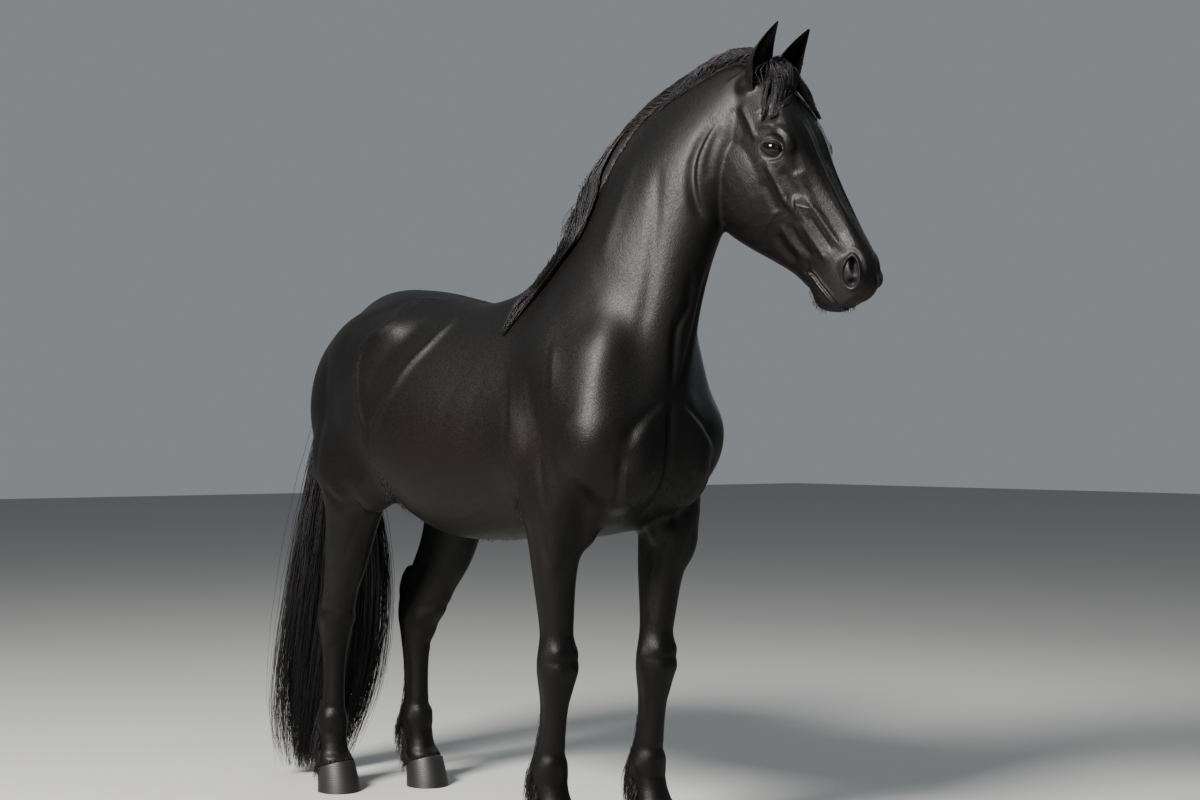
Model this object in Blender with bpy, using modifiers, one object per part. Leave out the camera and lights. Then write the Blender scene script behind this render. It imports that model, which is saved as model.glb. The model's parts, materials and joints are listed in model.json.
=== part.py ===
"""A life-size standing horse: a heavy-maned black stallion with its head high and turned a little to its left.

Metres, +Z up, head towards -Y. Every place is given as (side, ahead, up): side is + to the animal's left,
ahead is measured towards the head from the middle of the chest, and up is measured from the floor.
"""

import math
from collections import namedtuple

import bmesh
import bpy
from mathutils import Matrix, Vector

# Driving sizes
WITHERS_HEIGHT = 1.60
HEAD_LENGTH = 0.70
EYE_RADIUS = 0.0225
EAR_LENGTH = 0.185
CUT_GAP = 0.0010  # the saw cut between two neighbouring parts
SKIN_GAP = 0.0009  # the gap between the hair masses and the body
FLESH_VOXEL = 0.011
FLESH_TRIANGLES = 5700

# How the head is carried
POLL = (0.203, 0.618, 2.116)
HEAD_TURN = math.radians(12)  # to the left
HEAD_DROP = math.radians(59)  # of the face line, below level

COAT_BLACK = (0.012, 0.011, 0.011, 1.0)
HAIR_BLACK = (0.010, 0.009, 0.010, 1.0)
HORN_BLACK = (0.030, 0.027, 0.025, 1.0)
EYE_BROWN = (0.020, 0.010, 0.006, 1.0)


def way(side, ahead, up):
    """A direction on the animal as a world vector."""
    return Vector((side, -ahead, up))


def at(side, ahead, up):
    """A place on the animal as a world vector."""
    return way(side, ahead, up)


def clear_scene():
    for obj in list(bpy.data.objects):
        bpy.data.objects.remove(obj)


def new_collection(name):
    collection = bpy.data.collections.new(name)
    bpy.context.scene.collection.children.link(collection)
    return collection


def new_material(name, colour, roughness):
    material = bpy.data.materials.new(name)
    material.use_nodes = True
    shader = material.node_tree.nodes["Principled BSDF"]
    shader.inputs["Base Color"].default_value = colour
    shader.inputs["Roughness"].default_value = roughness
    shader.inputs["Metallic"].default_value = 0.0
    return material


def new_object(name, mesh, collection, material=None):
    obj = bpy.data.objects.new(name, mesh)
    collection.objects.link(obj)
    if material:
        mesh.materials.clear()
        mesh.materials.append(material)
    return obj


def mesh_from(bm, name):
    mesh = bpy.data.meshes.new(name)
    bmesh.ops.recalc_face_normals(bm, faces=bm.faces)
    bm.to_mesh(mesh)
    bm.free()
    return mesh


# ---------------------------------------------------------------- shapes


def spline(rows, steps):
    """Catmull-Rom rows between the given rows, which are equally long tuples of numbers."""
    last = len(rows) - 1
    smooth = []
    for i in range(last):
        before, start, end, after = (rows[max(0, min(last, i + k))] for k in (-1, 0, 1, 2))
        for step in range(steps):
            t = step / steps
            smooth.append(
                tuple(
                    0.5 * (2 * b + (c - a) * t + (2 * a - 5 * b + 4 * c - d) * t * t + (3 * b - a - 3 * c + d) * t**3)
                    for a, b, c, d in zip(before, start, end, after)
                )
            )
    smooth.append(tuple(rows[-1]))
    return smooth


def rounded(angle, wide, above, below, square, pinch):
    """(across, rise) of a rounded section. Square under 1 fills its corners; pinch narrows its upper half."""
    c, s = math.cos(angle), math.sin(angle)
    across = wide * math.copysign(abs(c) ** square, c)
    rise = (above if s > 0 else below) * math.copysign(abs(s) ** square, s)
    return across * (1 - pinch * max(0.0, s) ** 1.5), rise


def loft(bm, rings):
    """Closes a list of equally long rings of vectors into one capped tube."""
    layers = [[bm.verts.new(point) for point in ring] for ring in rings]
    count = len(layers[0])
    for low, high in zip(layers, layers[1:]):
        for i in range(count):
            bm.faces.new((low[i], low[(i + 1) % count], high[(i + 1) % count], high[i]))
    bm.faces.new(layers[0][::-1])
    bm.faces.new(layers[-1])


def ball(bm, centre, along, radii, segments=16):
    """An ellipsoid: radii are (along, outwards, across), with outwards the side away from the body's middle."""
    along = along.normalized()
    outwards = Vector((1, 0, 0)) - along * along.x
    if outwards.length < 0.2:
        outwards = Vector((0, 0, 1)) - along * along.z
    outwards.normalize()
    across = along.cross(outwards)
    turn = Matrix((outwards * radii[1], across * radii[2], along * radii[0])).transposed().to_4x4()
    place = Matrix.Translation(centre) @ turn
    bmesh.ops.create_uvsphere(bm, u_segments=segments, v_segments=segments // 2 + 2, radius=1.0, matrix=place)


def muscle(bm, start, end, outwards, across, reach=0.02):
    """An ellipsoid that runs between two places and a little past them."""
    middle, along = (start + end) / 2, end - start
    ball(bm, middle, along, (along.length / 2 + reach, outwards, across))


# ---------------------------------------------------------------- trunk

# ahead, top line, under line, half width, height of the widest place, squareness, pinch of the top
TRUNK = (
    (0.435, 1.260, 1.070, 0.090, 1.13, 1.00, 0.0),
    (0.395, 1.340, 1.000, 0.155, 1.12, 1.00, 0.1),
    (0.300, 1.420, 0.914, 0.200, 1.12, 0.95, 0.2),
    (0.160, 1.500, 0.858, 0.222, 1.12, 0.92, 0.4),
    (0.020, 1.570, 0.843, 0.240, 1.12, 0.90, 0.6),
    (-0.100, WITHERS_HEIGHT, 0.838, 0.258, 1.13, 0.90, 0.6),
    (-0.220, 1.560, 0.831, 0.280, 1.15, 0.90, 0.5),
    (-0.360, 1.534, 0.822, 0.302, 1.16, 0.90, 0.3),
    (-0.500, 1.556, 0.826, 0.312, 1.17, 0.92, 0.2),
    (-0.630, 1.582, 0.872, 0.306, 1.20, 0.93, 0.1),
    (-0.730, 1.597, 0.940, 0.290, 1.23, 0.93, 0.1),
    (-0.850, 1.608, 0.980, 0.268, 1.25, 0.97, 0.2),
    (-0.970, 1.600, 1.010, 0.237, 1.27, 1.00, 0.3),
    (-1.080, 1.550, 1.055, 0.183, 1.27, 1.00, 0.3),
    (-1.180, 1.454, 1.110, 0.104, 1.27, 1.00, 0.2),
)


def add_trunk(bm):
    rings = []
    for ahead, top, under, wide, middle, square, pinch in spline(TRUNK, 3):
        ring = []
        for i in range(32):
            across, rise = rounded(math.tau * i / 32, wide, top - middle, middle - under, square, pinch)
            ring.append(at(across, ahead, middle + rise))
        rings.append(ring)
    loft(bm, rings)


def add_trunk_muscles(bm, left):
    """The forms that stand out of the barrel on one side; left is 1 or -1."""
    side = 0.0 + left
    # shoulder blade and the muscle over it, down to the point of the shoulder
    muscle(bm, at(0.10 * side, -0.02, 1.46), at(0.195 * side, 0.27, 1.14), 0.085, 0.150)
    ball(bm, at(0.175 * side, 0.300, 1.130), way(0, 0.3, 1), (0.150, 0.095, 0.120))
    # triceps, from the blade's rear edge to the elbow
    muscle(bm, at(0.190 * side, -0.02, 1.26), at(0.200 * side, 0.05, 0.98), 0.075, 0.110)
    # breast muscle beside the middle furrow, and the one that slings the foreleg
    ball(bm, at(0.090 * side, 0.340, 1.070), way(0, 0.2, 1), (0.150, 0.105, 0.115))
    muscle(bm, at(0.085 * side, 0.300, 0.980), at(0.120 * side, 0.130, 0.900), 0.065, 0.070)
    # the long muscle of the neck's side where it comes down in front of the shoulder
    muscle(bm, at(0.122 * side, 0.262, 1.440), at(0.183 * side, 0.318, 1.230), 0.060, 0.088)
    # rump, thigh and the mass that falls to the stifle
    ball(bm, at(0.115 * side, -0.830, 1.380), way(0, 1, 0.16), (0.265, 0.155, 0.168))
    ball(bm, at(0.140 * side, -1.008, 1.250), way(0, 0.25, 1), (0.240, 0.107, 0.168))
    muscle(bm, at(0.190 * side, -0.740, 1.340), at(0.205 * side, -0.820, 1.060), 0.085, 0.150)
    ball(bm, at(0.195 * side, -0.770, 1.010), way(0, 0.35, -1), (0.130, 0.075, 0.105))
    # point of the hip
    ball(bm, at(0.205 * side, -0.635, 1.420), way(0, 1, 0.1), (0.120, 0.062, 0.080))


# ---------------------------------------------------------------- legs

LegRing = namedtuple("LegRing", "side ahead up wide front back")

# Half widths sideways, to the front and to the back. The hoof takes over below the last row.
FRONT_LEG = (
    LegRing(0.165, 0.190, 1.180, 0.050, 0.080, 0.090),
    LegRing(0.178, 0.165, 1.060, 0.078, 0.115, 0.135),
    LegRing(0.176, 0.138, 0.950, 0.080, 0.105, 0.115),
    LegRing(0.163, 0.126, 0.860, 0.072, 0.088, 0.086),
    LegRing(0.154, 0.114, 0.760, 0.058, 0.068, 0.072),
    LegRing(0.147, 0.110, 0.660, 0.050, 0.056, 0.056),
    LegRing(0.142, 0.108, 0.590, 0.047, 0.050, 0.049),
    LegRing(0.140, 0.108, 0.540, 0.057, 0.057, 0.050),
    LegRing(0.140, 0.107, 0.495, 0.059, 0.059, 0.053),
    LegRing(0.140, 0.103, 0.450, 0.050, 0.051, 0.053),
    LegRing(0.140, 0.096, 0.400, 0.039, 0.041, 0.047),
    LegRing(0.140, 0.088, 0.330, 0.036, 0.039, 0.044),
    LegRing(0.140, 0.080, 0.270, 0.040, 0.042, 0.049),
    LegRing(0.140, 0.073, 0.215, 0.052, 0.050, 0.060),
    LegRing(0.140, 0.088, 0.155, 0.046, 0.043, 0.048),
    LegRing(0.140, 0.112, 0.100, 0.058, 0.054, 0.057),
    LegRing(0.140, 0.122, 0.070, 0.062, 0.060, 0.061),
    LegRing(0.140, 0.132, 0.030, 0.062, 0.060, 0.061),
)

HIND_LEG = (
    LegRing(0.140, -0.980, 1.280, 0.070, 0.120, 0.120),
    LegRing(0.165, -0.945, 1.130, 0.102, 0.180, 0.180),
    LegRing(0.178, -0.905, 1.000, 0.098, 0.165, 0.158),
    LegRing(0.168, -0.932, 0.880, 0.080, 0.112, 0.115),
    LegRing(0.155, -0.986, 0.765, 0.068, 0.106, 0.090),
    LegRing(0.144, -1.040, 0.680, 0.058, 0.098, 0.080),
    LegRing(0.135, -1.072, 0.610, 0.056, 0.096, 0.076),
    LegRing(0.129, -1.096, 0.550, 0.057, 0.077, 0.070),
    LegRing(0.127, -1.104, 0.490, 0.049, 0.060, 0.058),
    LegRing(0.128, -1.108, 0.410, 0.039, 0.044, 0.046),
    LegRing(0.130, -1.108, 0.290, 0.037, 0.041, 0.045),
    LegRing(0.134, -1.108, 0.215, 0.050, 0.050, 0.060),
    LegRing(0.136, -1.098, 0.150, 0.045, 0.043, 0.047),
    LegRing(0.138, -1.082, 0.100, 0.056, 0.052, 0.057),
    LegRing(0.139, -1.076, 0.070, 0.061, 0.058, 0.061),
    LegRing(0.140, -1.068, 0.030, 0.061, 0.058, 0.061),
)

# Each leg: its rows, its side, how far forward the foot and the joint above it are set, and how far
# its front is turned outwards
Stance = namedtuple("Stance", "rows left step full_below toe_out")
STANCES = {
    "front_right": Stance(FRONT_LEG, -1, 0.000, 0.86, math.radians(4)),
    "front_left": Stance(FRONT_LEG, 1, 0.085, 0.86, math.radians(4)),
    "hind_right": Stance(HIND_LEG, -1, 0.000, 0.80, math.radians(17)),
    "hind_left": Stance(HIND_LEG, 1, 0.090, 0.80, math.radians(17)),
}


def step_at(stance, up):
    """How far a stance moves the leg forward at this height: all of it at the foot, none up in the trunk."""
    share = (1.15 - up) / (1.15 - stance.full_below)
    share = max(0.0, min(1.0, share))
    return stance.step * share * share * (3 - 2 * share)


def add_leg(bm, stance):
    rows = [LegRing(*row) for row in spline(stance.rows, 3)]
    spine = [at(r.side * stance.left, r.ahead + step_at(stance, r.up), r.up) for r in rows]
    rings = []
    for i, row in enumerate(rows):
        run = (spine[min(i + 1, len(spine) - 1)] - spine[max(i - 1, 0)]).normalized()
        if row.up < 0.25:
            run = Vector((0, 0, -1))
        turn = stance.toe_out * max(0.0, min(1.0, (1.0 - row.up) / 0.2))
        outwards = way(math.cos(turn), -math.sin(turn) * stance.left, 0)
        forward = outwards.cross(run).normalized()
        if forward.y > 0:
            forward.negate()
        ring = []
        for k in range(20):
            across, rise = rounded(math.tau * k / 20, row.wide, row.front, row.back, 0.92, 0.0)
            ring.append(spine[i] + outwards * across + forward * rise)
        rings.append(ring)
    loft(bm, rings)


def add_leg_forms(bm, stance):
    """Elbow, heel bone and the bumps of the joints."""
    side = stance.left
    low = stance.step
    if stance.rows is FRONT_LEG:
        ball(bm, at(0.185 * side, 0.018, 0.955), way(0, -0.4, 1), (0.060, 0.035, 0.045))
        muscle(bm, at(0.190 * side, 0.178 + low, 0.930), at(0.180 * side, 0.162 + low, 0.780), 0.044, 0.040)
        muscle(bm, at(0.105 * side, 0.205 + low * 0.6, 0.910), at(0.124 * side, 0.165 + low, 0.842), 0.046, 0.046)
        ball(bm, at(0.140 * side, 0.125 + low, 0.500), way(0, 0, 1), (0.060, 0.050, 0.040))
        ball(bm, at(0.140 * side, 0.050 + low, 0.520), way(0, 0, 1), (0.035, 0.022, 0.020))
        ball(bm, at(0.140 * side, 0.022 + low, 0.205), way(0, 0.2, 1), (0.032, 0.036, 0.022))
    else:
        muscle(bm, at(0.122 * side, -1.116 + low * 0.8, 0.700), at(0.108 * side, -1.156 + low, 0.615), 0.022, 0.026)
        ball(bm, at(0.108 * side, -1.146 + low, 0.560), way(0, 0, 1), (0.075, 0.024, 0.026))
        ball(bm, at(0.122 * side, -1.152 + low, 0.205), way(0, 0.2, 1), (0.032, 0.036, 0.022))


# ---------------------------------------------------------------- neck

# side, ahead, up of the middle; half width; half depth to the crest; half depth to the throat
NECK = (
    (0.000, 0.040, 1.230, 0.195, 0.300, 0.375),
    (0.005, 0.120, 1.380, 0.174, 0.290, 0.345),
    (0.022, 0.195, 1.530, 0.142, 0.262, 0.285),
    (0.058, 0.270, 1.680, 0.118, 0.230, 0.228),
    (0.098, 0.350, 1.812, 0.104, 0.204, 0.184),
    (0.140, 0.435, 1.926, 0.094, 0.184, 0.154),
    (0.176, 0.512, 2.012, 0.084, 0.158, 0.140),
    (0.202, 0.575, 2.066, 0.074, 0.112, 0.120),
)


def add_neck(bm):
    rows = spline(NECK, 4)
    spine = [at(*row[:3]) for row in rows]
    rings = []
    for i, row in enumerate(rows):
        run = (spine[min(i + 1, len(spine) - 1)] - spine[max(i - 1, 0)]).normalized()
        share = i / (len(rows) - 1)
        turn = HEAD_TURN * min(1.0, 1.6 * share)
        across = Vector((math.cos(turn), math.sin(turn), 0))
        crestward = across.cross(run).normalized()
        if crestward.y < 0:
            crestward.negate()
        across = crestward.cross(run).normalized()
        ring = []
        for k in range(24):
            sideways, rise = rounded(math.tau * k / 24, row[3], row[4], row[5], 0.95, 0.45)
            ring.append(spine[i] + across * sideways + crestward * rise)
        rings.append(ring)
    loft(bm, rings)


# ---------------------------------------------------------------- head

HEAD_FORWARD = way(math.sin(HEAD_TURN), math.cos(HEAD_TURN), 0)
HEAD_LEFT = way(math.cos(HEAD_TURN), -math.sin(HEAD_TURN), 0)
FACE = HEAD_FORWARD * math.cos(HEAD_DROP) - Vector((0, 0, 1)) * math.sin(HEAD_DROP)
JAW = -HEAD_FORWARD * math.sin(HEAD_DROP) - Vector((0, 0, 1)) * math.cos(HEAD_DROP)
HEAD_SCALE = HEAD_LENGTH / 0.70


def on_head(down, deep, left):
    """A place on the head: down the face from the poll, deep from the face line to the jaw, and to the left."""
    return at(*POLL) + (FACE * down + JAW * deep + HEAD_LEFT * left) * HEAD_SCALE


def head_direction(down, deep, left):
    return FACE * down + JAW * deep + HEAD_LEFT * left


HeadRing = namedtuple("HeadRing", "down top brow wide wide_deep cheek cheek_deep jaw under")

HEAD = (
    HeadRing(-0.030, 0.034, 0.034, 0.060, 0.080, 0.064, 0.150, 0.045, 0.200),
    HeadRing(0.040, 0.002, 0.046, 0.074, 0.062, 0.075, 0.152, 0.050, 0.250),
    HeadRing(0.110, -0.010, 0.058, 0.090, 0.052, 0.084, 0.168, 0.056, 0.302),
    HeadRing(0.180, -0.012, 0.072, 0.101, 0.045, 0.088, 0.182, 0.056, 0.334),
    HeadRing(0.240, -0.008, 0.072, 0.102, 0.054, 0.089, 0.192, 0.054, 0.358),
    HeadRing(0.305, 0.002, 0.056, 0.089, 0.075, 0.085, 0.197, 0.048, 0.350),
    HeadRing(0.375, 0.008, 0.044, 0.075, 0.090, 0.073, 0.192, 0.038, 0.316),
    HeadRing(0.445, 0.011, 0.038, 0.064, 0.095, 0.058, 0.178, 0.031, 0.274),
    HeadRing(0.510, 0.011, 0.035, 0.056, 0.095, 0.047, 0.162, 0.028, 0.238),
    HeadRing(0.570, 0.011, 0.036, 0.054, 0.090, 0.044, 0.152, 0.031, 0.220),
    HeadRing(0.612, 0.016, 0.038, 0.056, 0.084, 0.045, 0.150, 0.034, 0.218),
    HeadRing(0.645, 0.032, 0.035, 0.050, 0.088, 0.042, 0.144, 0.033, 0.206),
    HeadRing(0.674, 0.058, 0.024, 0.036, 0.098, 0.032, 0.130, 0.022, 0.172),
)


def head_half_section(row):
    """(left, deep) down one side of the head, from the middle of the face to the middle of the jaw."""
    corners = (
        (0.0, row.top),
        (row.brow, row.top + 0.010),
        (row.wide, row.wide_deep),
        (row.cheek, row.cheek_deep),
        (row.jaw, row.under - 0.022),
        (0.0, row.under),
    )
    return spline(corners, 3)


def add_head(bm):
    rings = []
    for values in spline(HEAD, 3):
        row = HeadRing(*values)
        half = head_half_section(row)
        left = [on_head(row.down, deep, side) for side, deep in half]
        right = [on_head(row.down, deep, -side) for side, deep in half[-2:0:-1]]
        rings.append(left + right)
    loft(bm, rings)


def add_head_forms(bm, left):
    side = left
    down_face, to_jaw = head_direction(1, 0, 0), head_direction(0, 1, 0)
    # chewing muscle, eye rim, cheek ridge, nostril wing
    ball(bm, on_head(0.225, 0.232, 0.058 * side), down_face, (0.130, 0.036, 0.114))
    ball(bm, on_head(0.226, 0.042, 0.088 * side), down_face, (0.046, 0.024, 0.032))
    muscle(bm, on_head(0.310, 0.112, 0.080 * side), on_head(0.420, 0.116, 0.063 * side), 0.014, 0.013)
    ball(bm, on_head(0.614, 0.070, 0.042 * side), head_direction(1, -0.35, 0), (0.048, 0.021, 0.034))
    # base of the ear
    ball(bm, on_head(-0.005, 0.030, 0.056 * side), to_jaw, (0.040, 0.034, 0.040))


def add_muzzle(bm):
    down_face = head_direction(1, 0, 0)
    ball(bm, on_head(0.650, 0.080, 0), head_direction(0.3, 1, 0), (0.050, 0.044, 0.034))
    ball(bm, on_head(0.612, 0.186, 0), down_face, (0.042, 0.034, 0.034))
    ball(bm, on_head(0.648, 0.140, 0), down_face, (0.026, 0.033, 0.022))


def eye_centre(left):
    return on_head(0.224, 0.077, 0.0830 * left)


# ---------------------------------------------------------------- ears


def ear_frame(left):
    """Root, axis to the tip, and the way its opening faces."""
    root = on_head(0.040, 0.052, 0.062 * left)
    axis = way(0.03 + 0.09 * left, 0.50, 0.86).normalized()
    opening = way(0.26, 0.85, -0.40)
    opening = (opening - axis * opening.dot(axis)).normalized()
    return root, axis, opening


# share of the length, half width, forward curl of the middle line, how far the sides wrap round (degrees)
EAR = (
    (-0.14, 0.028, 0.000, 172),
    (0.05, 0.036, 0.000, 160),
    (0.22, 0.041, -0.002, 135),
    (0.40, 0.039, -0.004, 118),
    (0.58, 0.032, -0.004, 105),
    (0.75, 0.0215, 0.000, 98),
    (0.89, 0.012, 0.006, 92),
    (0.985, 0.0045, 0.012, 88),
)
EAR_WALL = 0.0050


def ear_rings(left, steps):
    root, axis, opening = ear_frame(left)
    across = axis.cross(opening)
    rings = []
    for share, wide, curl, wrap in spline(EAR, 2):
        middle = root + axis * (share * EAR_LENGTH) + opening * (curl - wide * 0.35)
        wall = min(EAR_WALL, wide * 0.5)
        reach = math.radians(wrap)
        outer, inner = [], []
        for i in range(steps + 1):
            angle = reach * (2 * i / steps - 1)
            out = across * math.sin(angle) * 0.95 - opening * math.cos(angle)
            outer.append(middle + out * wide)
            inner.append(middle + out * (wide - wall))
        rings.append(outer + inner[::-1])
    return rings


# ---------------------------------------------------------------- hooves


# up, forward shift, half width, half length
HOOF = ((0.0, 0.020, 0.068, 0.074), (0.030, 0.014, 0.065, 0.070), (0.088, 0.000, 0.060, 0.061))
CORONET_UP = 0.078  # above the middle of the foot
CORONET_SLOPE = 0.34  # rise per metre forward


def foot_place(stance):
    last = stance.rows[-2]
    return last.side * stance.left, last.ahead + stance.step


def add_hoof(bm, stance):
    side, ahead = foot_place(stance)
    rings = []
    for up, shift, wide, long in HOOF:
        ring = []
        for k in range(20):
            angle = math.tau * k / 20
            across = wide * math.cos(angle)
            along = long * math.sin(angle) * (0.88 if math.sin(angle) < 0 else 1.0)
            ring.append(at(side + across, ahead + shift + along, up))
        rings.append(ring)
    top = [at(p.x, -p.y, CORONET_UP + CORONET_SLOPE * (-p.y - ahead)) for p in rings[-1]]
    loft(bm, rings[:-1] + [top])


def foot_cutter(bm, stance):
    """All that lies under the coronet of one foot, which the flesh gives way to."""
    side, ahead = foot_place(stance)
    low, reach = -0.2, 0.13
    top = [
        at(side + reach * i, ahead + reach * j, CORONET_UP + CUT_GAP + CORONET_SLOPE * reach * j)
        for i, j in ((-1, -1), (1, -1), (1, 1), (-1, 1))
    ]
    bottom = [Vector((p.x, p.y, low)) for p in top]
    loft(bm, [bottom, top])


# ---------------------------------------------------------------- hair masses


def hair_loft(bm, rows, place, sides=10):
    """A flattened tube through rows of (place, half thick, half broad, lean): lean turns its broad way up."""
    rows = spline(rows, 2)
    spine = [place(*row[:3]) for row in rows]
    rings = []
    for i, row in enumerate(rows):
        run = (spine[min(i + 1, len(spine) - 1)] - spine[max(i - 1, 0)]).normalized()
        lean = row[5] if len(row) > 5 else 0.0
        broad = Vector((math.cos(lean), 0, math.sin(lean)))
        broad = (broad - run * broad.dot(run)).normalized()
        thick = run.cross(broad)
        ring = []
        for k in range(sides):
            angle = math.tau * k / sides
            ring.append(spine[i] + broad * row[4] * math.cos(angle) + thick * row[3] * math.sin(angle))
        rings.append(ring)
    loft(bm, rings)


def radians_in(rows, column=5):
    return [row[:column] + (math.radians(row[column]),) + row[column + 1 :] for row in rows]


# From the forelock's root back along the crest to the withers
MANE = radians_in(
    (
        (0.205, 0.600, 2.138, 0.010, 0.014, 10),
        (0.198, 0.550, 2.146, 0.024, 0.026, 10),
        (0.182, 0.462, 2.142, 0.036, 0.048, 20),
        (0.150, 0.328, 2.092, 0.036, 0.055, 30),
        (0.112, 0.196, 2.012, 0.038, 0.058, 50),
        (0.070, 0.098, 1.884, 0.037, 0.074, 75),
        (0.032, 0.036, 1.738, 0.034, 0.080, 80),
        (-0.010, -0.048, 1.632, 0.030, 0.072, 70),
        (-0.046, -0.140, 1.576, 0.014, 0.045, 60),
        (-0.060, -0.190, 1.550, 0.006, 0.018, 60),
    )
)

# Rows on the head of down, deep, left, half thick, half broad: one lock falls over each side of the forehead
FORELOCK = (
    (
        (0.000, -0.022, -0.002, 0.010, 0.014),
        (0.030, -0.024, -0.008, 0.014, 0.020),
        (0.085, -0.014, -0.036, 0.013, 0.026),
        (0.130, 0.012, -0.068, 0.010, 0.022),
        (0.165, 0.038, -0.086, 0.005, 0.012),
    ),
    (
        (0.000, -0.022, 0.002, 0.010, 0.014),
        (0.040, -0.024, 0.006, 0.014, 0.018),
        (0.110, -0.018, 0.040, 0.010, 0.017),
        (0.170, -0.008, 0.062, 0.004, 0.009),
    ),
)

# side, ahead, up, half thick, half broad, lean
TAIL = radians_in(
    (
        (0.000, -1.090, 1.440, 0.034, 0.034, 0),
        (0.000, -1.190, 1.435, 0.036, 0.036, 0),
        (0.000, -1.255, 1.360, 0.042, 0.048, 0),
        (0.000, -1.285, 1.200, 0.052, 0.072, 0),
        (0.002, -1.298, 1.000, 0.064, 0.116, 0),
        (0.012, -1.312, 0.780, 0.076, 0.162, 0),
        (0.012, -1.336, 0.560, 0.080, 0.184, 0),
        (0.002, -1.372, 0.320, 0.074, 0.184, 0),
        (-0.014, -1.400, 0.140, 0.056, 0.148, 0),
        (-0.024, -1.412, 0.014, 0.030, 0.098, 0),
    )
)


# ---------------------------------------------------------------- building


def evaluated_mesh(obj, name):
    """The object's mesh with its modifiers applied, as the viewport shows it."""
    bpy.context.view_layer.update()
    graph = bpy.context.evaluated_depsgraph_get()
    mesh = bpy.data.meshes.new_from_object(obj.evaluated_get(graph))
    mesh.name = name
    return mesh


def replace_mesh(obj, mesh):
    obj.modifiers.clear()
    obj.data = mesh


def add_boolean(obj, other, operation="DIFFERENCE"):
    modifier = obj.modifiers.new(operation.title(), "BOOLEAN")
    modifier.operation = operation
    modifier.object = other
    modifier.solver = "EXACT"
    return modifier


def helper(name, mesh, collection):
    obj = new_object(name, mesh, collection)
    obj.hide_render = True
    obj.display_type = "WIRE"
    return obj


def fused(name, bm, voxel, rounds, collection):
    """Every closed shape in bm melted into one skin and smoothed."""
    obj = helper(name, mesh_from(bm, name), collection)
    remesh = obj.modifiers.new("Remesh", "REMESH")
    remesh.mode = "VOXEL"
    remesh.voxel_size = voxel
    smooth = obj.modifiers.new("Smooth", "SMOOTH")
    smooth.factor = 0.5
    smooth.iterations = rounds
    replace_mesh(obj, evaluated_mesh(obj, name))
    return obj


def swollen(source, amount, collection):
    """A copy of a closed skin, moved outwards by a small amount."""
    obj = helper(source.name + "_swollen", source.data.copy(), collection)
    grow = obj.modifiers.new("Displace", "DISPLACE")
    grow.strength = amount
    grow.mid_level = 0.0
    replace_mesh(obj, evaluated_mesh(obj, obj.name))
    return obj


def slab(bm, centre, normal, reach):
    """A thin square blade that parts two pieces."""
    across = normal.orthogonal().normalized()
    along = normal.cross(across).normalized()
    corners = [(across * i + along * j) * reach for i, j in ((-1, -1), (1, -1), (1, 1), (-1, 1))]
    half = normal.normalized() * CUT_GAP / 2
    loft(bm, [[centre + c - half for c in corners], [centre + c + half for c in corners]])


def curved_slab(bm, path, reach):
    """A thin blade bent along a path of (down, deep) on the head, and reaching out to both sides."""
    fore, aft = [], []
    for i, (down, deep) in enumerate(path):
        (a, b), (c, d) = path[max(i - 1, 0)], path[min(i + 1, len(path) - 1)]
        length = math.hypot(c - a, d - b)
        step_down, step_deep = (d - b) / length * CUT_GAP / 2, (a - c) / length * CUT_GAP / 2
        fore.append((down + step_down, deep + step_deep))
        aft.append((down - step_down, deep - step_deep))
    outline = fore + aft[::-1]
    rings = [[on_head(down, deep, left) for down, deep in outline] for left in (-reach, reach)]
    loft(bm, rings)


def islands(mesh):
    """Each closed body of a mesh as its own bmesh."""
    bm = bmesh.new()
    bm.from_mesh(mesh)
    found, seen = [], set()
    for start in bm.verts:
        if start in seen:
            continue
        group, queue = set(), [start]
        while queue:
            vert = queue.pop()
            if vert in group:
                continue
            group.add(vert)
            queue.extend(edge.other_vert(vert) for edge in vert.link_edges)
        seen |= group
        found.append({vert.index for vert in group})
    bm.free()
    return found


def body_from(mesh, keep, name):
    bm = bmesh.new()
    bm.from_mesh(mesh)
    bmesh.ops.delete(bm, geom=[v for v in bm.verts if v.index not in keep], context="VERTS")
    return mesh_from(bm, name)


# Where the flesh is parted: a point on the cut, its normal, and half the blade's side
CUTS = (
    (at(0.010, 0.150, 1.500), way(0.02, 0.42, 0.91), 0.42),
    (at(0.180, 0.200, 0.834), way(0, 0, 1), 0.140),
    (at(-0.180, 0.120, 0.834), way(0, 0, 1), 0.140),
    (at(0.190, -0.870, 0.900), way(0.0, 0.20, 0.98), 0.185),
    (at(-0.190, -0.920, 0.900), way(0.0, 0.20, 0.98), 0.185),
)

# The cut behind the jaw, from the poll round the jowls to the throat, as (down, deep) on the head
THROAT_CUT = (
    (-0.120, -0.120),
    (-0.050, 0.000),
    (-0.035, 0.120),
    (-0.010, 0.220),
    (0.045, 0.300),
    (0.120, 0.350),
    (0.215, 0.373),
    (0.300, 0.378),
    (0.420, 0.385),
)

# A place inside each piece of flesh, by which the pieces are named
SEEDS = {
    "head": on_head(0.35, 0.12, 0),
    "neck": at(0.08, 0.30, 1.75),
    "trunk": at(0.0, -0.45, 1.20),
    "leg_front_left": at(0.14, 0.17, 0.50),
    "leg_front_right": at(-0.14, 0.10, 0.50),
    "leg_hind_left": at(0.13, -1.03, 0.45),
    "leg_hind_right": at(-0.13, -1.10, 0.45),
}


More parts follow.
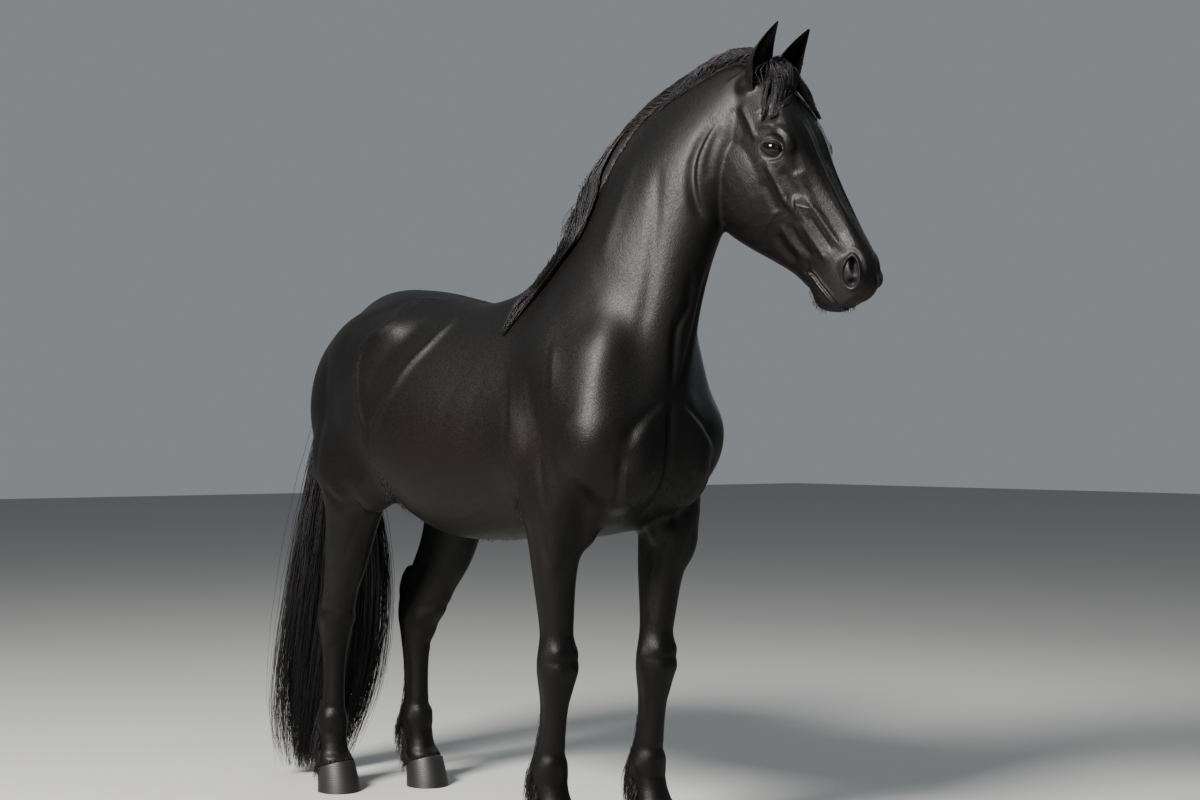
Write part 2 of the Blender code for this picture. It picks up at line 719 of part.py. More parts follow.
def name_bodies(mesh):
    """{name: vertex indices}, each seed taking the body whose box middle lies nearest to it."""
    bodies = []
    for group in islands(mesh):
        points = [mesh.vertices[i].co for i in group]
        low = Vector(min(p[k] for p in points) for k in range(3))
        high = Vector(max(p[k] for p in points) for k in range(3))
        bodies.append(((low + high) / 2, group))
    named = {}
    for name, seed in SEEDS.items():
        middle, group = min(bodies, key=lambda body: (body[0] - seed).length)
        named[name] = group
    return named


def centre_on_floor(parts, helpers):
    """Moves everything so the origin is the middle of the bottom of the whole animal's box."""
    graph = bpy.context.evaluated_depsgraph_get()
    corners = []
    for obj in parts.objects:
        corners += [Vector(corner) for corner in obj.evaluated_get(graph).bound_box]
    low = Vector(min(p[k] for p in corners) for k in range(3))
    high = Vector(max(p[k] for p in corners) for k in range(3))
    shift = Matrix.Translation((-(low.x + high.x) / 2, -(low.y + high.y) / 2, -low.z))
    for obj in list(parts.objects) + list(helpers.objects):
        obj.data.transform(shift)


def build():
    clear_scene()
    parts = new_collection("horse")
    helpers = new_collection("cutters_and_guides")
    coat = new_material("coat", COAT_BLACK, 0.38)
    hair = new_material("long_hair", HAIR_BLACK, 0.45)
    horn = new_material("hoof_horn", HORN_BLACK, 0.45)
    eye = new_material("eye", EYE_BROWN, 0.08)

    bm = bmesh.new()
    add_trunk(bm)
    add_neck(bm)
    for left in (1, -1):
        add_trunk_muscles(bm, left)
    torso = fused("torso", bm, 0.014, 26, helpers)
    bm = bmesh.new()
    bm.from_mesh(torso.data)
    add_head(bm)
    add_muzzle(bm)
    for left in (1, -1):
        add_head_forms(bm, left)
    for stance in STANCES.values():
        add_leg(bm, stance)
        add_leg_forms(bm, stance)
    flesh = fused("flesh", bm, FLESH_VOXEL, 5, helpers)
    thin = flesh.modifiers.new("Decimate", "DECIMATE")
    thin.ratio = FLESH_TRIANGLES / (2 * len(flesh.data.polygons))
    thin.use_collapse_triangulate = True
    replace_mesh(flesh, evaluated_mesh(flesh, "flesh"))
    skin = swollen(flesh, SKIN_GAP, helpers)

    blades = bmesh.new()
    for point, normal, reach in CUTS:
        slab(blades, point, normal, reach)
    curved_slab(blades, THROAT_CUT, 0.24)
    for stance in STANCES.values():
        foot_cutter(blades, stance)
    for left in (1, -1):
        bmesh.ops.create_uvsphere(
            blades, u_segments=14, v_segments=10, radius=EYE_RADIUS + SKIN_GAP,
            matrix=Matrix.Translation(eye_centre(left)),
        )
    cutters = helper("flesh_cutters", mesh_from(blades, "flesh_cutters"), helpers)
    add_boolean(flesh, cutters)
    replace_mesh(flesh, evaluated_mesh(flesh, "flesh"))
    for name, group in name_bodies(flesh.data).items():
        new_object(name, body_from(flesh.data, group, name), parts, coat)

    for left, word in ((1, "left"), (-1, "right")):
        bm = bmesh.new()
        bmesh.ops.create_uvsphere(
            bm, u_segments=14, v_segments=10, radius=EYE_RADIUS, matrix=Matrix.Translation(eye_centre(left))
        )
        new_object("eye_" + word, mesh_from(bm, "eye_" + word), parts, eye)
        bm = bmesh.new()
        loft(bm, ear_rings(left, 6))
        ear = new_object("ear_" + word, mesh_from(bm, "ear_" + word), parts, coat)
        add_boolean(ear, skin)
    for name, stance in STANCES.items():
        bm = bmesh.new()
        add_hoof(bm, stance)
        new_object("hoof_" + name, mesh_from(bm, "hoof_" + name), parts, horn)

    bm = bmesh.new()
    hair_loft(bm, MANE, at)
    mane = new_object("mane", mesh_from(bm, "mane"), parts, hair)
    add_boolean(mane, skin)
    locks = []
    for rows in FORELOCK:
        bm = bmesh.new()
        hair_loft(bm, rows, on_head, 8)
        locks.append(new_object("forelock", mesh_from(bm, "forelock"), helpers, hair))
    forelock, second = locks
    helpers.objects.unlink(forelock)
    parts.objects.link(forelock)
    second.name = "second_lock"
    second.hide_render = True
    second.display_type = "WIRE"
    add_boolean(forelock, second, "UNION")
    add_boolean(forelock, skin)
    add_boolean(forelock, mane)
    bm = bmesh.new()
    hair_loft(bm, TAIL, at)
    tail = new_object("tail", mesh_from(bm, "tail"), parts, hair)
    add_boolean(tail, skin)
    centre_on_floor(parts, helpers)


build()
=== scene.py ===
"""The looks of a life-size standing horse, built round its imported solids.

A heavy-maned black stallion stands on level ground with its head high and turned a little to its left.
Places are (side, ahead, up): side is + to the animal's left, ahead is measured from the middle of the chest
towards the head, and up is measured from the floor.
"""

import json
import math
from collections import namedtuple

import bmesh
import bpy
import numpy as np
from mathutils import Matrix, Vector
from mathutils.bvhtree import BVHTree

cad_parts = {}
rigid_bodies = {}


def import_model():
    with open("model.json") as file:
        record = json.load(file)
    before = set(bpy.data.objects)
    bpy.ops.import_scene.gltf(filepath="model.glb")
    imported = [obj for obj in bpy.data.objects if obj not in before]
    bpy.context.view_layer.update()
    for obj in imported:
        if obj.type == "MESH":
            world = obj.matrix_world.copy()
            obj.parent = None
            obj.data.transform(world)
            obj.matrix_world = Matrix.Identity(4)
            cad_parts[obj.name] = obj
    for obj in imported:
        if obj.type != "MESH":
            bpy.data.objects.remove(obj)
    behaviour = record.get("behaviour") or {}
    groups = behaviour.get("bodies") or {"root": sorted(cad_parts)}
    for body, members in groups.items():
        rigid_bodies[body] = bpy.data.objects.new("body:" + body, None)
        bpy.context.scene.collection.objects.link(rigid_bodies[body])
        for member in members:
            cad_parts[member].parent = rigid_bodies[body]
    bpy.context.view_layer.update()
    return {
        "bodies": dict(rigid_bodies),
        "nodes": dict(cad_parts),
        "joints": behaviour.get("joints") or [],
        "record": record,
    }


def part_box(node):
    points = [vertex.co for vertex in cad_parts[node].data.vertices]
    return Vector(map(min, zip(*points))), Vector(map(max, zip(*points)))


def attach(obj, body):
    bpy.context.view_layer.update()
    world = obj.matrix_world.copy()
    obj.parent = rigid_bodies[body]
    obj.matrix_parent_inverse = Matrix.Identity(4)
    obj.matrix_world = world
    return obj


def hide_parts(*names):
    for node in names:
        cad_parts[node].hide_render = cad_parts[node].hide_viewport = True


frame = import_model()


# ---------------------------------------------------------------- how the head is carried
# The head turns on the poll, the joint behind the ears. Its own measures run down the face from the poll,
# deep from the face line to the jaw, and to the left.

POLL = (0.203, 0.618, 2.116)
HEAD_TURN = math.radians(12)
HEAD_DROP = math.radians(59)
EYE_PLACE = (0.224, 0.077, 0.0830)


def way(side, ahead, up):
    """A direction on the animal as a world vector."""
    return Vector((side, -ahead, up))


HEAD_FORWARD = way(math.sin(HEAD_TURN), math.cos(HEAD_TURN), 0)
HEAD_LEFT = way(math.cos(HEAD_TURN), -math.sin(HEAD_TURN), 0)
FACE = HEAD_FORWARD * math.cos(HEAD_DROP) - Vector((0, 0, 1)) * math.sin(HEAD_DROP)
JAW = -HEAD_FORWARD * math.sin(HEAD_DROP) - Vector((0, 0, 1)) * math.cos(HEAD_DROP)


def head_direction(down, deep, left):
    return FACE * down + JAW * deep + HEAD_LEFT * left


# The solids stand centred on their own box, so the middle of the chest is found from the right eye.
eye_low, eye_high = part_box("eye_right")
eye_from_poll = head_direction(EYE_PLACE[0], EYE_PLACE[1], -EYE_PLACE[2])
CHEST_MIDDLE = (eye_low + eye_high) / 2 - eye_from_poll - way(*POLL)
CHEST_MIDDLE.z = 0.0


def at(side, ahead, up):
    """A place on the animal as a world vector."""
    return way(side, ahead, up) + CHEST_MIDDLE


def on_head(down, deep, left):
    return at(*POLL) + head_direction(down, deep, left)


# ---------------------------------------------------------------- floor, lights and camera
# A pale studio floor, lit by big soft panels. The camera stands at the animal's front right, at the height
# of its chest, and looks almost level.

CAMERA_TURN = math.radians(-37.43)
CAMERA_DISTANCE = 5.51
CAMERA_HEIGHT = 1.132
CAMERA_LENS = 58.35
CAMERA_SENSOR = 36.0
GAZE_RIGHT, GAZE_UP = 0.01337, 0.01902


def plain_material(name, colour, roughness):
    material = bpy.data.materials.new(name)
    material.use_nodes = True
    shader = material.node_tree.nodes["Principled BSDF"]
    shader.inputs["Base Color"].default_value = colour
    shader.inputs["Roughness"].default_value = roughness
    return material


def add_floor():
    bm = bmesh.new()
    bmesh.ops.create_grid(bm, x_segments=1, y_segments=1, size=30)
    mesh = bpy.data.meshes.new("studio_floor")
    bm.to_mesh(mesh)
    bm.free()
    mesh.materials.append(plain_material("pale_floor", (0.34, 0.34, 0.33, 1.0), 0.90))
    floor = bpy.data.objects.new("studio_floor", mesh)
    bpy.context.scene.collection.objects.link(floor)


def add_panel(name, place, aim, size, power, colour=(1.0, 1.0, 1.0)):
    light = bpy.data.lights.new(name, "AREA")
    light.shape = "RECTANGLE"
    light.size, light.size_y = size
    light.energy = power
    light.color = colour
    panel = bpy.data.objects.new(name, light)
    panel.location = at(*place)
    panel.rotation_mode = "QUATERNION"
    panel.rotation_quaternion = (at(*aim) - at(*place)).to_track_quat("-Z", "Y")
    bpy.context.scene.collection.objects.link(panel)


def add_world():
    world = bpy.data.worlds.new("studio_air")
    world.use_nodes = True
    background = world.node_tree.nodes["Background"]
    background.inputs["Color"].default_value = (0.86, 0.90, 0.96, 1.0)
    background.inputs["Strength"].default_value = 0.27
    bpy.context.scene.world = world


def add_camera():
    camera = bpy.data.objects.new("camera", bpy.data.cameras.new("camera"))
    turn = CAMERA_TURN
    away = Vector((math.sin(turn), -math.cos(turn), 0))
    camera.location = away * CAMERA_DISTANCE + CHEST_MIDDLE
    camera.location.z = CAMERA_HEIGHT
    rightward = Vector((math.cos(turn), math.sin(turn), 0))
    gaze = -away + rightward * GAZE_RIGHT + Vector((0, 0, 1)) * GAZE_UP
    camera.rotation_mode = "QUATERNION"
    camera.rotation_quaternion = gaze.to_track_quat("-Z", "Y")
    camera.data.lens = CAMERA_LENS
    camera.data.sensor_width = CAMERA_SENSOR
    bpy.context.scene.collection.objects.link(camera)
    bpy.context.scene.camera = camera


add_floor()
add_world()
add_panel("high_key", (-4.7, 0.9, 4.6), (0, -0.1, 1.3), (1.7, 1.5), 1700, (1.0, 0.98, 0.95))
add_panel("front_fill", (-2.5, 6.5, 3.4), (0, 0.2, 1.3), (3.0, 3.0), 30)
add_panel("sky", (0.6, -0.4, 5.6), (0, -0.4, 1.2), (3.0, 4.0), 70, (0.90, 0.95, 1.0))
add_panel("far_rim", (4.5, -1.5, 3.2), (0, -0.2, 1.3), (2.5, 2.5), 30, (0.94, 0.97, 1.0))
add_camera()


# ---------------------------------------------------------------- flesh
# One closed skin over neck, trunk, head and legs, drawn as rounded sections along each length and melted
# together, then given its muscles, folds, lids, nostrils and lips.


def metres(rows, columns=9):
    """Rows whose first columns are in millimetres, with those columns in metres."""
    return [tuple(value / 1000 for value in row[:columns]) + tuple(row[columns:]) for row in rows]


def spline(rows, steps):
    """Catmull-Rom rows between the given rows, which are equally long tuples of numbers."""
    last = len(rows) - 1
    smooth = []
    for i in range(last):
        before, start, end, after = (rows[max(0, min(last, i + k))] for k in (-1, 0, 1, 2))
        for step in range(steps):
            t = step / steps
            row = []
            for a, b, c, d in zip(before, start, end, after):
                curl, twist = 2 * a - 5 * b + 4 * c - d, 3 * b - a - 3 * c + d
                row.append(0.5 * (2 * b + (c - a) * t + curl * t * t + twist * t**3))
            smooth.append(tuple(row))
    smooth.append(tuple(rows[-1]))
    return smooth


def rounded(angle, wide, above, below, square, pinch):
    """(across, rise) of a round section; square under 1 fills its corners, pinch narrows its upper half."""
    c, s = math.cos(angle), math.sin(angle)
    across = wide * math.copysign(abs(c) ** square, c)
    rise = (above if s > 0 else below) * math.copysign(abs(s) ** square, s)
    return across * (1 - pinch * max(0.0, s) ** 1.5), rise


def loft(bm, rings):
    """Closes a list of equally long rings of vectors into one capped tube."""
    layers = [[bm.verts.new(point) for point in ring] for ring in rings]
    count = len(layers[0])
    for low, high in zip(layers, layers[1:]):
        for i in range(count):
            bm.faces.new((low[i], low[(i + 1) % count], high[(i + 1) % count], high[i]))
    bm.faces.new(layers[0][::-1])
    bm.faces.new(layers[-1])


def ball(bm, centre, along, radii):
    """An ellipsoid. Its radii are (along, outwards, across), and outwards is away from the body's middle."""
    along = along.normalized()
    outwards = Vector((1, 0, 0)) - along * along.x
    if outwards.length < 0.2:
        outwards = Vector((0, 0, 1)) - along * along.z
    outwards.normalize()
    across = along.cross(outwards)
    turn = Matrix((outwards * radii[1], across * radii[2], along * radii[0])).transposed().to_4x4()
    place = Matrix.Translation(centre) @ turn
    bmesh.ops.create_uvsphere(bm, u_segments=16, v_segments=10, radius=1.0, matrix=place)


MUSCLE_PAST_ENDS = 0.02


def muscle(bm, start, end, outwards, across):
    """An ellipsoid that runs between two places and a little past them."""
    middle, along = (start + end) / 2, end - start
    ball(bm, middle, along, (along.length / 2 + MUSCLE_PAST_ENDS, outwards, across))


# ahead, top line, under line, half width and height of the widest place in millimetres, then squareness and
# pinch of the top. The withers stand at 1600.
TRUNK = (
    (435, 1260, 1070, 90, 1130, 1.0, 0.0),
    (395, 1340, 1000, 155, 1120, 1.0, 0.1),
    (300, 1420, 914, 200, 1120, 0.95, 0.2),
    (160, 1500, 858, 222, 1120, 0.92, 0.4),
    (20, 1570, 843, 240, 1120, 0.9, 0.6),
    (-100, 1600, 838, 258, 1130, 0.9, 0.6),
    (-220, 1560, 831, 280, 1150, 0.9, 0.5),
    (-360, 1534, 822, 302, 1160, 0.9, 0.3),
    (-500, 1556, 826, 312, 1170, 0.92, 0.2),
    (-630, 1582, 872, 306, 1200, 0.93, 0.1),
    (-730, 1597, 940, 290, 1230, 0.93, 0.1),
    (-850, 1608, 980, 268, 1250, 0.97, 0.2),
    (-970, 1600, 1010, 237, 1270, 1.0, 0.3),
    (-1080, 1550, 1055, 183, 1270, 1.0, 0.3),
    (-1180, 1454, 1110, 104, 1270, 1.0, 0.2),
)


def add_trunk(bm):
    around = 32
    rings = []
    for ahead, top, under, wide, middle, square, pinch in spline(metres(TRUNK, 5), 3):
        ring = []
        for i in range(around):
            across, rise = rounded(math.tau * i / around, wide, top - middle, middle - under, square, pinch)
            ring.append(at(across, ahead, middle + rise))
        rings.append(ring)
    loft(bm, rings)


# Forms that stand out, in millimetres. A ball has its middle, the way its length points, and its half
# length, half thickness and half width. A muscle has its two ends, its half thickness and its half width.
TRUNK_FORMS = (
    # shoulder blade and the muscle over it, down to the point of the shoulder
    ((100, -20, 1460), (195, 270, 1140), (85, 150)),
    ((175, 300, 1130), (0, 0.3, 1), (150, 95, 120)),
    # triceps, from the blade's rear edge to the elbow
    ((190, -20, 1260), (200, 50, 980), (75, 110)),
    # breast muscle beside the middle furrow, and the one that slings the foreleg
    ((90, 340, 1070), (0, 0.2, 1), (150, 105, 115)),
    ((85, 300, 980), (120, 130, 900), (65, 70)),
    # the long muscle of the neck's side where it comes down in front of the shoulder
    ((122, 262, 1440), (183, 318, 1230), (60, 88)),
    # rump, thigh and the mass that falls to the stifle
    ((115, -830, 1380), (0, 1, 0.16), (265, 155, 168)),
    ((140, -1008, 1250), (0, 0.25, 1), (240, 107, 168)),
    ((190, -740, 1340), (205, -820, 1060), (85, 150)),
    ((195, -770, 1010), (0, 0.35, -1), (130, 75, 105)),
    # point of the hip
    ((205, -635, 1420), (0, 1, 0.1), (120, 62, 80)),
)


def body_place(place, left):
    """A (side, ahead, up) place in millimetres on one side of the body; left is 1 or -1."""
    side, ahead, up = (value / 1000 for value in place)
    return at(side * left, ahead, up)


def head_place(place, left):
    """A (down, deep, left) place in millimetres on one side of the head."""
    down, deep, side = (value / 1000 for value in place)
    return on_head(down, deep, side * left)


def add_forms(bm, forms, left, place, direction):
    for first, second, sizes in forms:
        sizes = [size / 1000 for size in sizes]
        if len(sizes) == 3:
            ball(bm, place(first, left), direction(*second), sizes)
        else:
            muscle(bm, place(first, left), place(second, left), *sizes)


LegRing = namedtuple("LegRing", "side ahead up wide front back")


def leg_rows(*rows):
    return [LegRing(*row) for row in metres(rows)]


# Half widths sideways, to the front and to the back, in millimetres. The hoof takes over below the last row.
FRONT_LEG = leg_rows(
    (165, 190, 1180, 50, 80, 90),
    (178, 165, 1060, 78, 115, 135),
    (176, 138, 950, 80, 105, 115),
    (163, 126, 860, 72, 88, 86),
    (154, 114, 760, 58, 68, 72),
    (147, 110, 660, 50, 56, 56),
    (142, 108, 590, 47, 50, 49),
    (140, 108, 540, 57, 57, 50),
    (140, 107, 495, 59, 59, 53),
    (140, 103, 450, 50, 51, 53),
    (140, 96, 400, 39, 41, 47),
    (140, 88, 330, 36, 39, 44),
    (140, 80, 270, 40, 42, 49),
    (140, 73, 215, 52, 50, 60),
    (140, 88, 155, 46, 43, 48),
    (140, 112, 100, 58, 54, 57),
    (140, 122, 70, 62, 60, 61),
    (140, 132, 30, 62, 60, 61),
)

HIND_LEG = leg_rows(
    (140, -980, 1280, 70, 120, 120),
    (165, -945, 1130, 102, 180, 180),
    (178, -905, 1000, 98, 165, 158),
    (168, -932, 880, 80, 112, 115),
    (155, -986, 765, 68, 106, 90),
    (144, -1040, 680, 58, 98, 80),
    (135, -1072, 610, 56, 96, 76),
    (129, -1096, 550, 57, 77, 70),
    (127, -1104, 490, 49, 60, 58),
    (128, -1108, 410, 39, 44, 46),
    (130, -1108, 290, 37, 41, 45),
    (134, -1108, 215, 50, 50, 60),
    (136, -1098, 150, 45, 43, 47),
    (138, -1082, 100, 56, 52, 57),
    (139, -1076, 70, 61, 58, 61),
    (140, -1068, 30, 61, 58, 61),
)

# Each leg: its rows, its side, how far forward the foot and the joint above it are set, and how far
# its front is turned outwards
Stance = namedtuple("Stance", "rows left step full_below toe_out")
STANCES = {
    "front_right": Stance(FRONT_LEG, -1, 0.000, 0.86, math.radians(4)),
    "front_left": Stance(FRONT_LEG, 1, 0.085, 0.86, math.radians(4)),
    "hind_right": Stance(HIND_LEG, -1, 0.000, 0.80, math.radians(17)),
    "hind_left": Stance(HIND_LEG, 1, 0.090, 0.80, math.radians(17)),
}


STEP_TOP = 1.15  # height from which a step moves the leg
LEG_SQUARENESS = 0.92


def step_at(stance, up):
    """How far a stance moves the leg forward at this height: all of it at the foot, none up in the trunk."""
    share = (STEP_TOP - up) / (STEP_TOP - stance.full_below)
    share = max(0.0, min(1.0, share))
    return stance.step * share * share * (3 - 2 * share)


def add_leg(bm, stance):
    around = 20
    rows = [LegRing(*row) for row in spline(stance.rows, 3)]
    spine = [at(r.side * stance.left, r.ahead + step_at(stance, r.up), r.up) for r in rows]
    rings = []
    for i, row in enumerate(rows):
        run = (spine[min(i + 1, len(spine) - 1)] - spine[max(i - 1, 0)]).normalized()
        if row.up < 0.25:
            run = Vector((0, 0, -1))
        turn = stance.toe_out * max(0.0, min(1.0, (1.0 - row.up) / 0.2))
        outwards = way(math.cos(turn), -math.sin(turn) * stance.left, 0)
        forward = outwards.cross(run).normalized()
        if forward.y > 0:
            forward.negate()
        ring = []
        for k in range(around):
            angle = math.tau * k / around
            across, rise = rounded(angle, row.wide, row.front, row.back, LEG_SQUARENESS, 0.0)
            ring.append(spine[i] + outwards * across + forward * rise)
        rings.append(ring)
    loft(bm, rings)


# As TRUNK_FORMS, with the share of the leg's step that each place takes
FRONT_LEG_FORMS = (
    # elbow
    ((185, 18, 955), 0, (0, -0.4, 1), 0, (60, 35, 45)),
    ((190, 178, 930), 1, (180, 162, 780), 1, (44, 40)),
    ((105, 205, 910), 0.6, (124, 165, 842), 1, (46, 46)),
    # knee, and the small bone behind it
    ((140, 125, 500), 1, (0, 0, 1), 0, (60, 50, 40)),
    ((140, 50, 520), 1, (0, 0, 1), 0, (35, 22, 20)),
    # ergot
    ((140, 22, 205), 1, (0, 0.2, 1), 0, (32, 36, 22)),
)
HIND_LEG_FORMS = (
    # cord to the heel bone, its point, and the ergot
    ((122, -1116, 700), 0.8, (108, -1156, 615), 1, (22, 26)),
    ((108, -1146, 560), 1, (0, 0, 1), 0, (75, 24, 26)),
    ((122, -1152, 205), 1, (0, 0.2, 1), 0, (32, 36, 22)),
)


def add_leg_forms(bm, stance):
    def place(point, share):
        side, ahead, up = (value / 1000 for value in point)
        return at(side * stance.left, ahead + stance.step * share, up)

    for first, early, second, late, sizes in FRONT_LEG_FORMS if stance.rows is FRONT_LEG else HIND_LEG_FORMS:
        sizes = [size / 1000 for size in sizes]
        if len(sizes) == 3:
            ball(bm, place(first, early), way(*second), sizes)
        else:
            muscle(bm, place(first, early), place(second, late), *sizes)


# side, ahead and up of the middle, half width, half depth to the crest and to the throat, in millimetres
NECK = (
    (0, 40, 1230, 195, 300, 375),
    (5, 120, 1380, 174, 290, 345),
    (22, 195, 1530, 142, 262, 285),
    (58, 270, 1680, 118, 230, 228),
    (98, 350, 1812, 104, 204, 184),
    (140, 435, 1926, 94, 184, 154),
    (176, 512, 2012, 84, 158, 140),
    (202, 575, 2066, 74, 112, 120),
)
NECK_SQUARENESS, NECK_PINCH = 0.95, 0.45


def add_neck(bm):
    around = 24
    rows = spline(metres(NECK), 4)
    spine = [at(*row[:3]) for row in rows]
    rings = []
    for i, row in enumerate(rows):
        run = (spine[min(i + 1, len(spine) - 1)] - spine[max(i - 1, 0)]).normalized()
        share = i / (len(rows) - 1)
        turn = HEAD_TURN * min(1.0, 1.6 * share)
        across = Vector((math.cos(turn), math.sin(turn), 0))
        crestward = across.cross(run).normalized()
        if crestward.y < 0:
            crestward.negate()
        across = crestward.cross(run).normalized()
        ring = []
        for k in range(around):
            angle = math.tau * k / around
            sideways, rise = rounded(angle, *row[3:], NECK_SQUARENESS, NECK_PINCH)
            ring.append(spine[i] + across * sideways + crestward * rise)
        rings.append(ring)
    loft(bm, rings)


# In millimetres: how far down the face, and half widths with how deep each lies, from the brow to the jaw
HeadRing = namedtuple("HeadRing", "down top brow wide wide_deep cheek cheek_deep jaw under")
HEAD = (
    (-30, 34, 34, 60, 80, 64, 150, 45, 200),
    (40, 2, 46, 74, 62, 75, 152, 50, 250),
    (110, -10, 58, 90, 52, 84, 168, 56, 302),
    (180, -12, 72, 101, 45, 88, 182, 56, 334),
    (240, -8, 72, 102, 54, 89, 192, 54, 358),
    (305, 2, 56, 89, 75, 85, 197, 48, 350),
    (375, 8, 44, 75, 90, 73, 192, 38, 316),
    (445, 11, 38, 64, 95, 58, 178, 31, 274),
    (510, 11, 35, 56, 95, 47, 162, 28, 238),
    (570, 11, 36, 54, 90, 44, 152, 31, 220),
    (612, 16, 38, 56, 84, 45, 150, 34, 218),
    (645, 32, 35, 50, 88, 42, 144, 33, 206),
    (674, 58, 24, 36, 98, 32, 130, 22, 172),
)


def head_half_section(row):
    """(left, deep) down one side of the head, from the middle of the face to the middle of the jaw."""
    corners = (
        (0.0, row.top),
        (row.brow, row.top + 0.010),
        (row.wide, row.wide_deep),
        (row.cheek, row.cheek_deep),
        (row.jaw, row.under - 0.022),
        (0.0, row.under),
    )
    return spline(corners, 3)


def add_head(bm):
    rings = []
    for values in spline(metres(HEAD), 3):
        row = HeadRing(*values)
        half = head_half_section(row)
        left = [on_head(row.down, deep, side) for side, deep in half]
        right = [on_head(row.down, deep, -side) for side, deep in half[-2:0:-1]]
        rings.append(left + right)
    loft(bm, rings)


HEAD_FORMS = (
    # chewing muscle, eye rim, cheek ridge, nostril wing
    ((225, 232, 58), (1, 0, 0), (130, 36, 114)),
    ((226, 42, 88), (1, 0, 0), (46, 24, 32)),
    ((310, 112, 80), (420, 116, 63), (14, 13)),
    ((614, 70, 42), (1, -0.35, 0), (48, 21, 34)),
    # base of the ear
    ((22, 70, 52), (0, 1, 0), (40, 34, 34)),
)
MUZZLE_FORMS = (
    ((650, 80, 0), (0.3, 1, 0), (50, 44, 34)),
    ((612, 186, 0), (1, 0, 0), (42, 34, 34)),
    ((648, 140, 0), (1, 0, 0), (26, 33, 22)),
)


# The head carries far finer detail than the barrel, so it is blown up before the melting and shrunk back
# after it.
HEAD_MIDDLE = on_head(0.33, 0.13, 0.0)
HEAD_SWELL = 1.7
SWELL_FULL, SWELL_ENDS = 0.40, 0.80


def ease(value, low, high):
    t = np.clip((value - low) / (high - low), 0, 1)
    return t * t * (3 - 2 * t)


def swell_table():
    reach = np.linspace(0.0, 4.0, 4001)
    fade = np.clip((reach - SWELL_FULL) / (SWELL_ENDS - SWELL_FULL), 0, 1)
    slope = 1 + HEAD_SWELL * (1 - fade * fade * (3 - 2 * fade))
    grown = np.concatenate([[0], np.cumsum((slope[1:] + slope[:-1]) / 2 * np.diff(reach))])
    return reach, grown


def swelled(points, back=False):
    reach, grown = swell_table()
    if back:
        reach, grown = grown, reach
    middle = np.array(HEAD_MIDDLE)
    offset = points - middle
    far = np.linalg.norm(offset, axis=1)
    return middle + offset * (np.interp(far, reach, grown) / np.maximum(far, 1e-9))[:, None]


def places(mesh):
    flat = np.empty(len(mesh.vertices) * 3)
    mesh.vertices.foreach_get("co", flat)
    return flat.reshape(-1, 3)


def set_places(mesh, points):
    mesh.vertices.foreach_set("co", np.ascontiguousarray(points, np.float32).ravel())
    mesh.update()


def edge_ends(mesh):
    flat = np.empty(len(mesh.edges) * 2, np.int64)
    mesh.edges.foreach_get("vertices", flat)
    return flat.reshape(-1, 2)


def smoothed(points, ends, rounds, share=0.5):
    """Each point moves towards the mean of its neighbours. share may differ from point to point."""
    a, b = ends[:, 0], ends[:, 1]
    count = len(points)
    links = np.maximum(np.bincount(a, minlength=count) + np.bincount(b, minlength=count), 1)
    share = np.broadcast_to(np.asarray(share, float), (count,))[:, None]
    for _ in range(rounds):
        total = np.empty_like(points)
        for k in range(3):
            total[:, k] = np.bincount(a, points[b, k], count) + np.bincount(b, points[a, k], count)
        points = points + (total / links[:, None] - points) * share
    return points


STEP_IN, STEP_OUT = 0.5, -0.515


def evened(points, ends, rounds):
    """Smooths without shrinking: every step inwards is followed by one outwards."""
    for _ in range(rounds):
        points = smoothed(points, ends, 1, STEP_IN)
        points = smoothed(points, ends, 1, STEP_OUT)
    return points


def normals_of(mesh):
    flat = np.empty(len(mesh.vertices) * 3, np.float32)
    mesh.vertices.foreach_get("normal", flat)
    return flat.reshape(-1, 3).astype(float)


def mesh_from(bm, name):
    mesh = bpy.data.meshes.new(name)
    bmesh.ops.recalc_face_normals(bm, faces=bm.faces)
    bm.to_mesh(mesh)
    bm.free()
    return mesh


def new_piece(name, mesh):
    piece = bpy.data.objects.new(name, mesh)
    bpy.context.scene.collection.objects.link(piece)
    return piece


def settled(piece, name):
    """The piece's mesh with its modifiers applied, and the piece itself taken away."""
    bpy.context.view_layer.update()
    graph = bpy.context.evaluated_depsgraph_get()
    mesh = bpy.data.meshes.new_from_object(piece.evaluated_get(graph))
    mesh.name = name
    bpy.data.objects.remove(piece)
    return mesh


def melted(mesh, voxel):
    """The outer skin of overlapping closed shapes, as even faces about one voxel across."""
    rough = new_piece("rough_flesh", mesh)
    remesh = rough.modifiers.new("Melt", "REMESH")
    remesh.mode = "VOXEL"
    remesh.voxel_size = voxel
    return settled(rough, "flesh")


# Along the crest, under the mane: side, ahead, up, radius, in millimetres
CREST = (
    (200, 560, 2120, 22),
    (184, 470, 2124, 36),
    (152, 335, 2078, 46),
    (118, 220, 2008, 50),
    (80, 122, 1896, 54),
    (46, 60, 1760, 56),
    (10, -10, 1650, 54),
    (-30, -110, 1580, 40),
)


def add_crest(bm):
    fine = spline(metres(CREST), 5)
    for here, ahead in zip(fine[:-1], fine[1:]):
        middle, other = at(*here[:3]), at(*ahead[:3])
        ball(bm, middle, other - middle, ((other - middle).length + here[3] * 0.7, here[3], here[3]))


TORSO_VOXEL, WHOLE_VOXEL = 0.014, 0.0125
TORSO_ROUNDS, WHOLE_ROUNDS, BARREL_ROUNDS = 26, 12, 34


